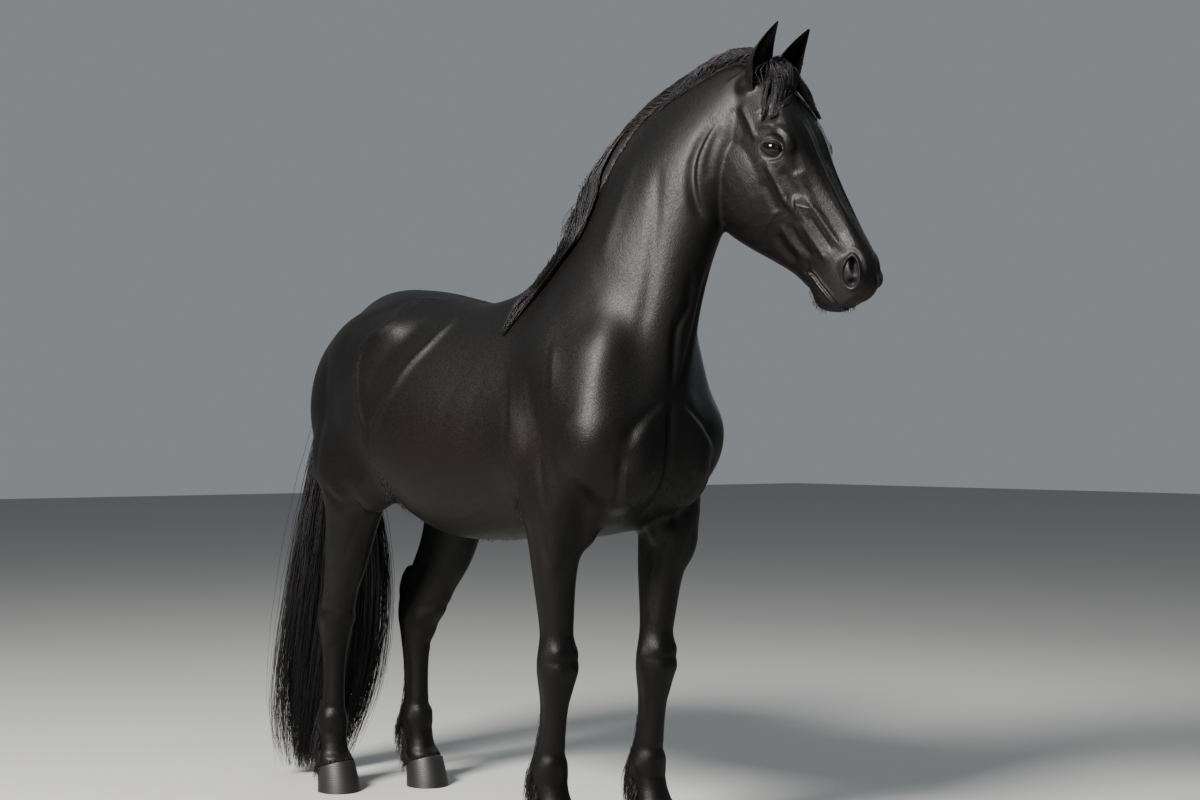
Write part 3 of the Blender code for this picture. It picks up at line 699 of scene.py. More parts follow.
def make_flesh():
    bm = bmesh.new()
    add_trunk(bm)
    add_neck(bm)
    for left in (1, -1):
        add_forms(bm, TRUNK_FORMS, left, body_place, way)
    add_crest(bm)
    torso = melted(mesh_from(bm, "torso"), TORSO_VOXEL)
    set_places(torso, smoothed(places(torso), edge_ends(torso), TORSO_ROUNDS))
    bm = bmesh.new()
    bm.from_mesh(torso)
    add_head(bm)
    add_forms(bm, MUZZLE_FORMS, 1, head_place, head_direction)
    for left in (1, -1):
        add_forms(bm, HEAD_FORMS, left, head_place, head_direction)
    for stance in STANCES.values():
        add_leg(bm, stance)
        add_leg_forms(bm, stance)
    whole = mesh_from(bm, "whole")
    set_places(whole, swelled(places(whole)))
    flesh = melted(whole, WHOLE_VOXEL)
    ends = edge_ends(flesh)
    points = evened(smoothed(places(flesh), ends, 2), ends, WHOLE_ROUNDS)
    points = swelled(points, back=True)
    # the barrel, croup and shoulder are broad smooth forms
    ahead, up = -(points[:, 1] - CHEST_MIDDLE.y), points[:, 2]
    barrel = ease(up, 0.92, 1.06) * (1 - ease(ahead * 0.6 + up * 0.8, 1.52, 1.70))
    set_places(flesh, smoothed(points, ends, BARREL_ROUNDS, 0.5 * barrel))
    return flesh


def ear_frame(left):
    """Root, axis to the tip, and the way its opening faces: to the front and a little outwards."""
    root = on_head(0.040, 0.056, -0.004 + 0.056 * left)
    axis = way(0.02 + 0.08 * left, 0.50, 0.87 + 0.01 * left).normalized()
    opening = way(-0.27 - 0.07 * left, 0.94, -0.22)
    opening = (opening - axis * opening.dot(axis)).normalized()
    return root, axis, opening


# share of the length, half width, forward curl of the middle line, how far the sides wrap round (degrees)
EAR = (
    (-0.12, 0.018, 0.000, 172),
    (-0.02, 0.027, 0.000, 168),
    (0.08, 0.0325, 0.000, 158),
    (0.20, 0.0350, 0.000, 136),
    (0.34, 0.0345, 0.000, 112),
    (0.48, 0.0310, -0.001, 98),
    (0.62, 0.0250, 0.000, 90),
    (0.76, 0.0180, 0.003, 86),
    (0.88, 0.0112, 0.007, 84),
    (0.955, 0.0064, 0.010, 82),
    (1.0, 0.0030, 0.012, 80),
)
EAR_LENGTH = 0.190
EAR_WALL = 0.0042


def add_ear(bm, left):
    """A long leaf of skin rolled into a cone that opens forwards and outwards, with a rounded rim."""
    root, axis, opening = ear_frame(left)
    across = axis.cross(opening)
    steps = 22
    rings = []
    for share, wide, curl, wrap in spline(EAR, 5):
        wide *= 1.08 + 0.08 * left
        middle = root + axis * (share * EAR_LENGTH) + opening * (curl - wide * 0.35)
        wall = min(EAR_WALL, wide * 0.5)
        reach = math.radians(wrap)
        outer, inner = [], []
        for i in range(steps + 1):
            angle = reach * (2 * i / steps - 1)
            out = across * math.sin(angle) * 0.95 - opening * math.cos(angle)
            thin = wall * (0.35 + 0.65 * math.sqrt(max(0.0, 1 - (2 * i / steps - 1) ** 6)))
            outer.append(middle + out * wide)
            inner.append(middle + out * (wide - thin))
        rings.append(outer + inner[::-1])
    loft(bm, rings)


# up, forward shift, half width, half length
HOOF = ((0.0, 0.020, 0.068, 0.074), (0.030, 0.014, 0.065, 0.070), (0.088, 0.000, 0.060, 0.061))
CORONET_UP = 0.078  # above the middle of the foot
CORONET_SLOPE = 0.34  # rise per metre forward
CUT_GAP = 0.0010


def foot_place(stance):
    last = stance.rows[-2]
    return last.side * stance.left, last.ahead + stance.step


def foot_cutter(bm, stance):
    """All that lies under the coronet of one foot, which the flesh gives way to."""
    side, ahead = foot_place(stance)
    reach = 0.13
    top = [
        at(side + reach * i, ahead + reach * j, CORONET_UP + CUT_GAP + CORONET_SLOPE * reach * j)
        for i, j in ((-1, -1), (1, -1), (1, 1), (-1, 1))
    ]
    bottom = [Vector((p.x, p.y, -0.2)) for p in top]
    loft(bm, [bottom, top])


def with_ears_without_feet(flesh):
    """Grows the ears out of the poll, and ends the flesh at the coronets."""
    bm = bmesh.new()
    for left in (1, -1):
        add_ear(bm, left)
    ears = new_piece("ears", mesh_from(bm, "ears"))
    bm = bmesh.new()
    for stance in STANCES.values():
        foot_cutter(bm, stance)
    feet = new_piece("feet", mesh_from(bm, "feet"))
    body = new_piece("body", flesh)
    for other, operation in ((ears, "UNION"), (feet, "DIFFERENCE")):
        join = body.modifiers.new(operation.title(), "BOOLEAN")
        join.operation = operation
        join.object = other
        join.solver = "EXACT"
    flesh = settled(body, "flesh")
    bpy.data.objects.remove(ears)
    bpy.data.objects.remove(feet)
    return flesh


def refined(mesh, chosen, rounds=2):
    """Splits the faces whose corners are all chosen into quarters, and smooths the new corners."""
    bm = bmesh.new()
    bm.from_mesh(mesh)
    bm.verts.ensure_lookup_table()
    faces = [face for face in bm.faces if all(chosen[v.index] for v in face.verts)]
    edges = list({edge for face in faces for edge in face.edges})
    before = len(bm.verts)
    bmesh.ops.subdivide_edges(bm, edges=edges, cuts=1, use_grid_fill=True)
    bm.to_mesh(mesh)
    bm.free()
    touched = np.zeros(len(mesh.vertices), bool)
    touched[before:] = True
    ends = edge_ends(mesh)
    for _ in range(2):
        reach = touched[ends[:, 0]] | touched[ends[:, 1]]
        touched[ends[reach].ravel()] = True
    set_places(mesh, smoothed(places(mesh), ends, rounds, np.where(touched, 0.45, 0.0)))
    return mesh


EAR_BASE_ROUNDS = 12


def ease_ear_bases(mesh):
    """Runs the ears into the poll without a crease."""
    points = places(mesh)
    soft = np.zeros(len(points))
    for left in (1, -1):
        root, axis, _ = (np.array(v) for v in ear_frame(left))
        offset = points - root
        along = offset @ axis
        across = np.linalg.norm(offset - along[:, None] * axis, axis=1)
        share = (1 - ease(along, 0.016, 0.050)) * (1 - ease(across, 0.045, 0.085))
        share = share * ease(along, -0.08, -0.04)
        soft = np.maximum(soft, share)
    set_places(mesh, smoothed(points, edge_ends(mesh), EAR_BASE_ROUNDS, 0.5 * soft))
    return mesh


flesh = ease_ear_bases(with_ears_without_feet(make_flesh()))


# ---------------------------------------------------------------- lines of muscle, bone and fold
# Under the thin coat every muscle edge, tendon, vein and fold of skin shows. Each is a smooth path on the
# skin with a rise (a groove is a minus rise) and a half width. The right side of the body is a mirror image
# of the left. All these tables are in millimetres.

# rise, half width, path of (side, ahead, up) on the left side
BODY_LINES = (
    # front edge of the shoulder blade, down to the point of the upper arm
    (-1.8, 30, ((85, 40, 1590), (123, 84, 1522), (179, 166, 1422), (215, 233, 1319), (239, 264, 1226))),
    (2.4, 36, ((215, 150, 1380), (240, 215, 1270), (255, 250, 1200))),
    # long muscle from the head to the arm, and the groove under it
    (3, 46, ((107, 255, 1536), (113, 288, 1457), (112, 335, 1348), (105, 399, 1256))),
    # ripples of the muscle over the blade
    (-1.6, 9, ((190, 140, 1400), (215, 170, 1300), (235, 190, 1210))),
    (1.4, 8, ((205, 170, 1380), (228, 200, 1290), (243, 215, 1210))),
    # breast muscles
    (-4.2, 20, ((122, 419, 1188), (148, 428, 1106), (161, 409, 1038), (165, 341, 977))),
    (-6, 10, ((158, 413, 1085), (160, 405, 1030), (150, 385, 985), (130, 340, 940))),
    (3.4, 6, ((148, 412, 1060), (140, 405, 1019), (130, 396, 987), (116, 365, 949))),
    (3.5, 36, ((70, 430, 1170), (95, 435, 1090), (105, 400, 1020))),
    (4, 17, ((12, 436, 1215), (61, 434, 1190), (117, 437, 1124), (158, 413, 1085))),
    (-4, 12, ((40, 440, 1225), (100, 430, 1180), (150, 420, 1130))),
    (-5, 9, ((62, 425, 1040), (78, 415, 1010), (75, 385, 965))),
    # wrinkles where the arm joins the breast
    (-3, 6, ((215, 200, 912), (196, 222, 902), (170, 236, 910))),
    (-2.6, 6, ((210, 196, 928), (190, 224, 921), (160, 240, 930))),
    (-2.2, 5, ((205, 205, 943), (185, 228, 938), (165, 240, 948))),
    # upper arm: groove between its long and outer heads, and the bulge behind it
    (-3.4, 20, ((245, 60, 1330), (262, 120, 1210), (262, 170, 1100))),
    (3, 32, ((250, 60, 1200), (255, 85, 1120), (250, 110, 1030))),
    (-4, 14, ((262, 170, 1100), (258, 190, 1010), (245, 195, 930))),
    # girth behind the elbow
    (-6, 20, ((225, 20, 985), (200, 0, 930), (150, -10, 880))),
    # hollow of the flank between the last rib and the thigh, with a ridge down each side of it
    (-14, 50, (
        (166, -516, 1482), (220, -543, 1437), (254, -583, 1386), (277, -615, 1327), (291, -631, 1258),
    )),
    (-6, 24, ((291, -631, 1258), (292, -644, 1183), (287, -632, 1108))),
    (8.5, 15, (
        (104, -450, 1520), (139, -400, 1476), (201, -410, 1414), (258, -456, 1341), (300, -510, 1250),
        (308, -555, 1190), (298, -596, 1140), (282, -612, 1080), (262, -610, 1020),
    )),
    (8, 14, (
        (205, -610, 1491), (240, -635, 1461), (256, -715, 1410), (272, -732, 1345), (294, -690, 1229),
        (296, -664, 1168), (287, -650, 1105), (268, -642, 1040),
    )),
    (7, 15, ((210, -608, 1491), (156, -644, 1525), (110, -620, 1550), (82, -520, 1540))),
    (-5, 8, ((296, -640, 1120), (284, -626, 1060), (266, -620, 1010), (240, -600, 960))),
    # croup and thigh
    (-3, 24, ((120, -650, 1545), (190, -760, 1480), (235, -860, 1370))),
    (-5, 22, ((215, -960, 1400), (250, -985, 1260), (250, -985, 1120), (225, -985, 1000))),
    (-4.5, 18, ((270, -945, 982), (259, -856, 929), (230, -756, 916))),
    (4, 26, ((271, -866, 1030), (259, -795, 1006), (258, -727, 1001), (245, -690, 1008))),
    (-3.5, 14, ((215, -800, 890), (205, -880, 800), (190, -960, 720))),
    # faint ribs
    (-1, 20, ((255, -120, 1330), (285, -150, 1180), (270, -170, 1030))),
    (-1, 20, ((262, -215, 1330), (297, -250, 1180), (285, -270, 1030))),
    # vein under the belly
    (1.4, 7, ((235, -60, 960), (225, -180, 905), (205, -300, 880))),
    # back muscles beside the spine
    (-3, 16, ((0, -150, 1560), (0, -350, 1540), (0, -550, 1560), (0, -800, 1570))),
)

# Lines on the neck, each side given as it lies, because the neck bends
NECK_LINES = (
    (-9, 13, (
        (47, 459, 1576), (43, 452, 1497), (35, 449, 1470), (8, 440, 1416), (4, 433, 1318), (-5, 432, 1242),
    )),
    (-7, 13, ((110, 452, 1600), (100, 445, 1500), (80, 440, 1410), (45, 435, 1310), (15, 432, 1242))),
    (-10, 12, ((-5, 435, 1235), (-14, 436, 1158), (-14, 439, 1090), (-3, 379, 975), (0, 290, 905))),
    (-4, 20, ((13, 363, 1877), (-19, 381, 1712), (-43, 389, 1550), (-72, 382, 1389))),
    (-4, 20, ((190, 330, 1877), (170, 350, 1712), (140, 375, 1550), (110, 375, 1389))),
    (3.5, 26, ((31, 257, 1918), (-31, 247, 1777), (-91, 235, 1611))),
    (3.5, 26, ((180, 230, 1900), (150, 225, 1770), (120, 225, 1611))),
)

# rise, drop, half width, the (ahead, up) way the raised side lies, path
BODY_FOLDS = (
    # rear edge of the upper arm over the ribs
    (4, 6, 46, (1.0, 0.1), (
        (240, -40, 1330), (255, 10, 1240), (257, 34, 1150), (253, 30, 1080), (240, 38, 1010),
        (236, 70, 950),
    )),
)

# rise, radius, place
BODY_BUMPS = (
    (3, 26, (210, -608, 1491)),
    (2.5, 20, (259, 290, 1158)),
    (3, 40, (247, -740, 955)),
    (3, 22, (242, 112, 905)),
    (3, 34, (40, 440, 1150)),
)

# On the head: rise, half width, path of (down, deep, left)
HEAD_LINES = (
    # rim of the eye socket, and the hollow above it
    (3.6, 10, ((150, 88, 98), (170, 50, 98), (212, 22, 100), (255, 22, 90), (280, 50, 88))),
    (-6.5, 15, ((120, 52, 90), (140, 40, 88), (165, 20, 80))),
    (-3.5, 14, ((262, 30, 80), (290, 45, 74), (320, 55, 70))),
    # arch of bone from the eye to the ear
    (3.6, 10, ((180, 105, 103), (120, 102, 94), (60, 105, 85))),
    (-2.2, 15, ((150, 135, 98), (100, 130, 94), (50, 130, 88))),
    # ridge of the cheek bone, under the eye, and the hollows on both sides of it
    (4.2, 10, ((245, 112, 100), (282, 112, 94), (322, 115, 87), (358, 122, 84), (392, 120, 78))),
    (-4.5, 13, ((290, 82, 90), (330, 84, 84), (375, 88, 74))),
    (-3.5, 13, ((280, 145, 96), (330, 150, 90), (375, 156, 80))),
    # edges of the nasal bones
    (3, 8, ((180, -6, 36), (254, -4, 34), (329, 6, 30), (420, 14, 26), (520, 18, 23))),
    (-2, 10, ((100, -14, 0), (220, -12, 0), (330, -3, 0))),
    (-3, 12, ((330, 45, 60), (400, 48, 52), (480, 46, 44), (540, 42, 40))),
    # strap muscles to the lip and nostril
    (3.8, 8, ((380, 72, 70), (440, 66, 60), (510, 62, 52), (565, 54, 46))),
    (-3.4, 7, ((420, 90, 66), (480, 88, 56), (545, 82, 50))),
    (3.6, 9, ((430, 114, 64), (496, 114, 56), (560, 110, 50))),
    (-5.5, 15, ((405, 200, 56), (450, 203, 46), (500, 192, 38))),
    (-4, 11, ((410, 150, 68), (460, 150, 60), (520, 144, 50))),
    (3.4, 9, ((400, 170, 66), (450, 174, 56), (510, 168, 46))),
    # veins over the cheek bone and down to the lip
    (1.3, 2.8, ((330, 72, 86), (360, 90, 82), (384, 106, 78), (398, 114, 76))),
    (1.3, 2.6, ((384, 106, 78), (408, 84, 70), (431, 63, 59), (470, 50, 50))),
    (1.8, 2.6, ((388, 110, 78), (439, 106, 66), (470, 118, 60), (510, 128, 52))),
    (0.8, 2.8, ((398, 114, 78), (390, 160, 74), (372, 210, 68), (345, 260, 58))),
    (1, 2.6, ((300, 50, 78), (330, 58, 74), (360, 56, 66), (400, 48, 56))),
    # throat and jowl
    (-4.2, 16, ((60, 215, 100), (120, 290, 118), (190, 335, 112), (260, 362, 90))),
    (-2.4, 12, ((80, 180, 98), (130, 240, 108), (180, 280, 104))),
    # groove of the chin, folds behind the corner of the mouth
    (-3.5, 7, ((560, 205, 28), (564, 212, 12), (564, 214, 0))),
    (-2.4, 4, ((520, 160, 46), (534, 176, 42), (536, 192, 34))),
    # furrow down the upper lip
    (-2.6, 5, ((640, 34, 0), (668, 80, 0), (680, 130, 0))),
    # bulge over the nostril
    (3.2, 8, ((556, 42, 42), (582, 22, 36), (620, 20, 34), (655, 44, 32))),
)

HEAD_FOLDS = (
    # front edge of the chewing muscle, and the back of the jaw over the neck
    (2.6, 3.6, 20, (-1.0, 0.1), ((372, 150, 82), (382, 195, 74), (392, 245, 56), (396, 280, 40))),
    (3, 5, 24, (1.0, -0.5), (
        (60, 180, 100), (100, 255, 116), (151, 300, 119), (216, 336, 108), (273, 356, 86),
    )),
)


def nearest_on(points, path):
    """Distance to a path, the share of the way along it, and the nearest place on it."""
    far = np.full(len(points), 9.0)
    along = np.zeros(len(points))
    foot = np.zeros((len(points), 3))
    for i in range(len(path) - 1):
        run = path[i + 1] - path[i]
        t = np.clip((points - path[i]) @ run / (run @ run), 0, 1)
        place = path[i] + t[:, None] * run
        gap = np.linalg.norm(points - place, axis=1)
        closer = gap < far
        far = np.where(closer, gap, far)
        along = np.where(closer, (i + t) / (len(path) - 1), along)
        foot = np.where(closer[:, None], place, foot)
    return far, along, foot


def within(points, path, reach):
    low, high = path.min(axis=0) - reach, path.max(axis=0) + reach
    return np.flatnonzero(np.all((points > low) & (points < high), axis=1))


def on_skin(tree, path):
    """A smooth path through the given places, laid on the skin."""
    rows = spline([tuple(place) for place in path], 5)
    return np.array([tree.find_nearest(Vector(row))[0] for row in rows])


FOLD_EDGE = 0.005


def tapered(along):
    ends = np.clip(np.minimum(along, 1 - along) / 0.22, 0, 1)
    return ends * ends * (3 - 2 * ends) * 0.85 + 0.15 * (ends > 0)


def draw_line(points, normals, path, rise, wide):
    rise, wide = rise / 1000, wide / 1000
    near = within(points, path, wide * 2.5)
    far, along, _ = nearest_on(points[near], path)
    lift = rise * np.exp(-((far / wide) ** 2)) * tapered(along)
    points[near] += normals[near] * lift[:, None]


def draw_fold(points, normals, path, rise, drop, wide, raised_side):
    """A step in the skin: it rises on the raised side of the path and drops on the other."""
    rise, drop, wide = rise / 1000, drop / 1000, wide / 1000
    near = within(points, path, wide * 2.2)
    far, along, foot = nearest_on(points[near], path)
    side = (points[near] - foot) @ np.array(raised_side.normalized())
    shape = (rise - drop) / 2 + (rise + drop) / 2 * np.tanh(side / FOLD_EDGE)
    lift = shape * np.exp(-((far / wide) ** 1.6)) * tapered(along)
    points[near] += normals[near] * lift[:, None]


def skin_of(mesh):
    """Its places, its normals and a tree that finds the nearest place on it."""
    points = places(mesh)
    tree = BVHTree.FromPolygons([tuple(p) for p in points], [tuple(face.vertices) for face in mesh.polygons])
    return points, normals_of(mesh), tree


def sculpt_body(mesh):
    points, normals, tree = skin_of(mesh)
    for left in (1, -1):
        for rise, wide, path in BODY_LINES:
            draw_line(points, normals, on_skin(tree, [body_place(p, left) for p in path]), rise, wide)
        for rise, drop, wide, (ahead_way, up_way), path in BODY_FOLDS:
            path = on_skin(tree, [body_place(p, left) for p in path])
            draw_fold(points, normals, path, rise, drop, wide, way(0, ahead_way, up_way))
        for rise, wide, (side, ahead, up) in BODY_BUMPS:
            path = on_skin(tree, [body_place((side, ahead, up + more), left) for more in (0, 2)])
            near = within(points, path, wide / 400)
            far, _, _ = nearest_on(points[near], path)
            points[near] += normals[near] * (rise / 1000 * np.exp(-((far * 1000 / wide) ** 2)))[:, None]
    for rise, wide, path in NECK_LINES:
        draw_line(points, normals, on_skin(tree, [body_place(p, 1) for p in path]), rise, wide)
    set_places(mesh, points)


def sculpt_head(mesh):
    points, normals, tree = skin_of(mesh)
    for left in (1, -1):
        for rise, wide, path in HEAD_LINES:
            path = on_skin(tree, [head_place(p, left) for p in path])
            # a line in the middle is drawn once from each side
            in_middle = abs((path[0] - np.array(on_head(0, 0, 0))) @ np.array(HEAD_LEFT)) < 0.004
            draw_line(points, normals, path, rise * (0.5 if in_middle else 1.0), wide)
        for rise, drop, wide, (down_way, deep_way), path in HEAD_FOLDS:
            path = on_skin(tree, [head_place(p, left) for p in path])
            draw_fold(points, normals, path, rise, drop, wide, head_direction(down_way, deep_way, 0))
    set_places(mesh, points)


def head_places(points):
    """(down, deep, left) of world points."""
    offset = points - np.array(on_head(0, 0, 0))
    return offset @ np.array([FACE, JAW, HEAD_LEFT]).T


# Forms of the lower legs: rise, height, half height, then in degrees the turn round the leg from its front
# (+ to the outside) and the half width
FETLOCK_FORMS = (
    (3.4, 236, 18, 28, 32), (3.4, 236, 18, -28, 32), (4.2, 214, 22, 95, 22), (4.2, 214, 22, -95, 22),
    (-3.2, 264, 12, 0, 85), (-3, 184, 12, 0, 60), (3, 104, 10, 0, 110), (-2, 125, 10, 0, 90),
)
FRONT_FORMS = FETLOCK_FORMS + (
    # forearm
    (-4, 800, 100, 72, 12), (-3.4, 780, 100, -58, 12), (3.4, 840, 80, 38, 24), (3, 800, 80, -15, 20),
    # chestnut, inside above the knee
    (3, 665, 18, -82, 9),
    # the knee's small bones
    (4.4, 546, 17, 32, 20), (4.4, 546, 17, -32, 20), (-2.6, 520, 7, 0, 60), (3.8, 494, 16, 26, 20),
    (3.8, 494, 16, -28, 20), (-1.8, 592, 18, 0, 70), (-1.8, 452, 18, 0, 60), (3.6, 522, 30, 92, 16),
    (3.6, 522, 30, -92, 16),
    # groove between the cannon bone and the cords behind it
    (-5, 360, 78, 105, 17), (-5, 360, 78, -105, 17), (1.8, 360, 80, 0, 30),
)
HIND_FORMS = FETLOCK_FORMS + (
    # hollow in front of the cord that runs to the point of the hock
    (-8.5, 665, 60, 116, 24), (-8.5, 665, 60, -116, 24), (3.6, 640, 60, 60, 20),
    # hock
    (5.6, 546, 24, 50, 24), (5.6, 546, 24, -45, 24), (4.6, 502, 22, 14, 24), (-3.6, 584, 12, 0, 60),
    (4.2, 536, 30, 100, 15), (4.2, 536, 30, -100, 15), (-4, 500, 32, 130, 15), (-4, 500, 32, -130, 15),
    (-3, 460, 12, 0, 60),
    (-5, 365, 82, 102, 17), (-5, 365, 82, -102, 17), (1.8, 370, 80, 0, 30),
)


def shape_legs(mesh):
    points, normals = places(mesh), normals_of(mesh)
    side, ahead, up = points[:, 0] - CHEST_MIDDLE.x, -(points[:, 1] - CHEST_MIDDLE.y), points[:, 2]
    for stance in STANCES.values():
        rows = np.array(spline(stance.rows, 4))[::-1]
        share = np.clip((STEP_TOP - up) / (STEP_TOP - stance.full_below), 0, 1)
        middle = np.interp(up, rows[:, 2], rows[:, 1]) + stance.step * share ** 2 * (3 - 2 * share)
        outward = side * stance.left - np.interp(up, rows[:, 2], rows[:, 0])
        forward = ahead - middle
        turn = np.degrees(np.arctan2(outward, forward) - stance.toe_out)
        near = (np.hypot(outward, forward) < 0.17) & (up < 0.98) & (side * stance.left > 0.01)
        rise = np.zeros(len(points))
        for high, place, tall, front, wide in FRONT_FORMS if stance.rows is FRONT_LEG else HIND_FORMS:
            off = (turn - front + 180) % 360 - 180
            rise += high / 1000 * np.exp(-((up - place / 1000) / (tall / 1000)) ** 2 - (off / wide) ** 2)
        points += normals * (rise * near)[:, None]
    set_places(mesh, points)


SHOULDER_ROUNDS = 240


def eased_into_shoulder(points):
    """Runs the neck into the shoulders without a step."""
    soft = np.zeros(len(points))
    for left in (1, -1):
        offset = points - np.array(at(0.165 * left, 0.295, 1.400))
        gap = np.linalg.norm(offset / np.array([0.17, 0.20, 0.25]), axis=1)
        soft = np.maximum(soft, np.exp(-(gap ** 3)))
    return smoothed(points, edge_ends(flesh), SHOULDER_ROUNDS, 0.5 * soft)


LEGS_BELOW = 0.82  # the legs' fine forms need smaller faces up to this height
set_places(flesh, eased_into_shoulder(places(flesh)))
flesh = refined(flesh, places(flesh)[:, 2] < LEGS_BELOW)
shape_legs(flesh)
sculpt_body(flesh)
local = head_places(places(flesh))
on_face = (local[:, 0] > 0.10) & (local[:, 0] < 0.72) & (abs(local[:, 2]) < 0.2) & (local[:, 1] < 0.45)
flesh = refined(flesh, on_face, 1)
sculpt_head(flesh)


# ---------------------------------------------------------------- eyelids, nostrils and mouth
# Each eye looks out to the side and a little ahead through an almond opening between two thick lids. The
# nostrils are comma shaped, with a rolled rim and a fold of skin inside, and the lips meet in a soft line.

EYE_LONG, EYE_HIGH, EYE_DEEP = 0.0300, 0.0245, 0.0225
LID_LONG, LID_UP, LID_DOWN = 0.0262, 0.0112, 0.0098


def frame_of(centre, outward, along):
    """A small frame on the skin: its middle, and unit vectors along, upwards across and outwards."""
    outward = np.array(outward.normalized())
    along = np.array(along.normalized())
    along = along - outward * (along @ outward)
    along /= np.linalg.norm(along)
    across = np.cross(outward, along)
    if across[2] < 0:
        across = -across
    return np.array(centre), along, across, outward


def eye_frame(left):
    centre = on_head(EYE_PLACE[0], EYE_PLACE[1], EYE_PLACE[2] * left)
    outward = head_direction(0.176, -0.250, 0.95 * left)
    return frame_of(centre, outward, head_direction(0.68, -0.66, -0.335 * left))


def in_frame(points, frame):
    centre, along, across, outward = frame
    offset = points - centre
    return offset @ along, offset @ across, offset @ outward


def out_of_frame(a, b, c, frame):
    centre, along, across, outward = frame
    return centre + a[:, None] * along + b[:, None] * across + c[:, None] * outward


def lid_edges(a):
    """Heights of the two lid margins at a place along the eye. The upper one is highest towards the nose."""
    s = np.clip(a / LID_LONG, -1, 1)
    arch = np.sqrt(np.clip(1 - s * s, 0, 1))
    upper = LID_UP * arch * (1 + 0.22 * s) - 0.0024 * s
    lower = -LID_DOWN * arch ** 1.25 * (1 + 0.05 * s) - 0.0024 * s
    return upper, lower


def hump(value, middle, wide):
    """1 where a value is at the middle, falling off on both sides of it."""
    return np.exp(-(((value - middle) / wide) ** 2))


def shape_eye(points, frame):
    a, b, c = in_frame(points, frame)
    near = np.flatnonzero((np.hypot(a, b) < 0.060) & (c > -0.020) & (c < 0.060))
    a, b, c = a[near], b[near], c[near]
    reach = np.hypot(a, b * 1.12)
    ball = 0.0252 - reach ** 2 / 0.062
    # lids lie on the ball; further out the skin runs on as it was
    hold = 1 - ease(reach, 0.024, 0.043)
    c = c + (ball - c) * hold
    upper, lower = lid_edges(a)
    over = np.maximum(b - upper, lower - b)
    inside_ends = np.abs(a) < LID_LONG * 1.02
    on_upper = b > (upper + lower) / 2
    # margins rolled and thick, a crease over the upper lid, a soft bag under the rear half of the lower
    c += 0.0012 * hump(over, 0.0022, 0.0018) * inside_ends
    line = np.exp(-((a / 0.031) ** 6))
    c -= np.where(on_upper, 0.0026 * hump(over, 0.0090, 0.0026), 0) * line
    c += np.where(on_upper, 0.0014 * hump(over, 0.0155, 0.0050), 0) * line
    line = np.exp(-(((a + 0.004) / 0.026) ** 4))
    c -= np.where(~on_upper, 0.0010 * hump(over, 0.0052, 0.0015), 0) * line
    line = np.exp(-(((a + 0.008) / 0.024) ** 4))
    c -= np.where(~on_upper, 0.0019 * hump(over, 0.0150, 0.0034), 0) * line
    # tear corner towards the nose
    corner = ((a - 0.0310 - 0.6 * (b + 0.003)) / 0.0070) ** 2 + ((b + 0.0045) / 0.0034) ** 2
    c -= 0.0035 * np.exp(-corner)
    # the opening itself
    sunk = 0.0225 - reach ** 2 / 0.055 - 0.0075
    inside = (over < 0) & inside_ends
    depth = ease(-over, 0.0, 0.0012)
    c = np.where(inside, c + (sunk - c) * depth, c)
    # corners of the mesh drawn on to the margin, so it is a clean edge
    pull = inside_ends & (np.abs(over) < 0.0007)
    edge = np.where(on_upper, upper, lower)
    b = np.where(pull, edge, b)
    points[near] = out_of_frame(a, b, c, frame)


def nostril_frame(left):
    centre = on_head(0.622, 0.062, 0.056 * left)
    return frame_of(centre, head_direction(0.30, -0.30, 0.90 * left), head_direction(0.84, 0.54, 0.0))


def shape_nostril(points, frame):
    a, b, c = in_frame(points, frame)
    near = np.flatnonzero((np.hypot(a, b) < 0.065) & (np.abs(c) < 0.045))
    a, b, c = a[near], b[near], c[near]
    # a runs down the long way of the opening, b across it towards the front of the nose
    oval = np.hypot(a / 0.0415, b / (0.0235 + 0.10 * a))
    rim = hump(oval, 1.06, 0.15)
    c += rim * (0.0058 - 0.0030 * ease(b, 0.0, 0.014))
    inside = 1 - ease(oval, 0.74, 0.97)
    # most of the opening is filled by soft folds; the hole itself is a crescent along its lower rear side
    hole = np.exp(-((a + 0.017) / 0.019) ** 2 - ((b + 0.008 + 0.12 * a) / 0.0072) ** 2)
    slit = np.exp(-((a - 0.026) / 0.010) ** 2 - ((b + 0.004) / 0.0120) ** 2)
    c -= inside * (0.0050 + 0.024 * hole + 0.014 * slit)
    points[near] = out_of_frame(a, b, c, frame)


# The mouth from its corner to the middle: down, deep, left in millimetres
LIP_LINE = (
    (546, 174, 38),
    (562, 168, 41),
    (587, 164, 42),
    (613, 158, 43),
    (638, 153, 40),
    (657, 150, 30),
    (669, 147, 14),
    (673, 146, 0),
)


def shape_mouth(points, normals, tree):
    for left in (1, -1):
        path = on_skin(tree, [head_place(p, left) for p in LIP_LINE])
        near = within(points, path, 0.03)
        far, along, _ = nearest_on(points[near], path)
        lips = -0.0042 * hump(far, 0, 0.0028) + 0.0016 * hump(far, 0.0075, 0.0045)
        corner = -0.0030 * np.exp(-(np.linalg.norm(points[near] - path[0], axis=1) / 0.0060) ** 2)
        fade = ease(along, -0.02, 0.08)
        # the two sides of the middle share the same groove
        share = np.where(along > 0.96, 0.5, 1.0)
        points[near] += normals[near] * ((lips * fade * share) + corner)[:, None]


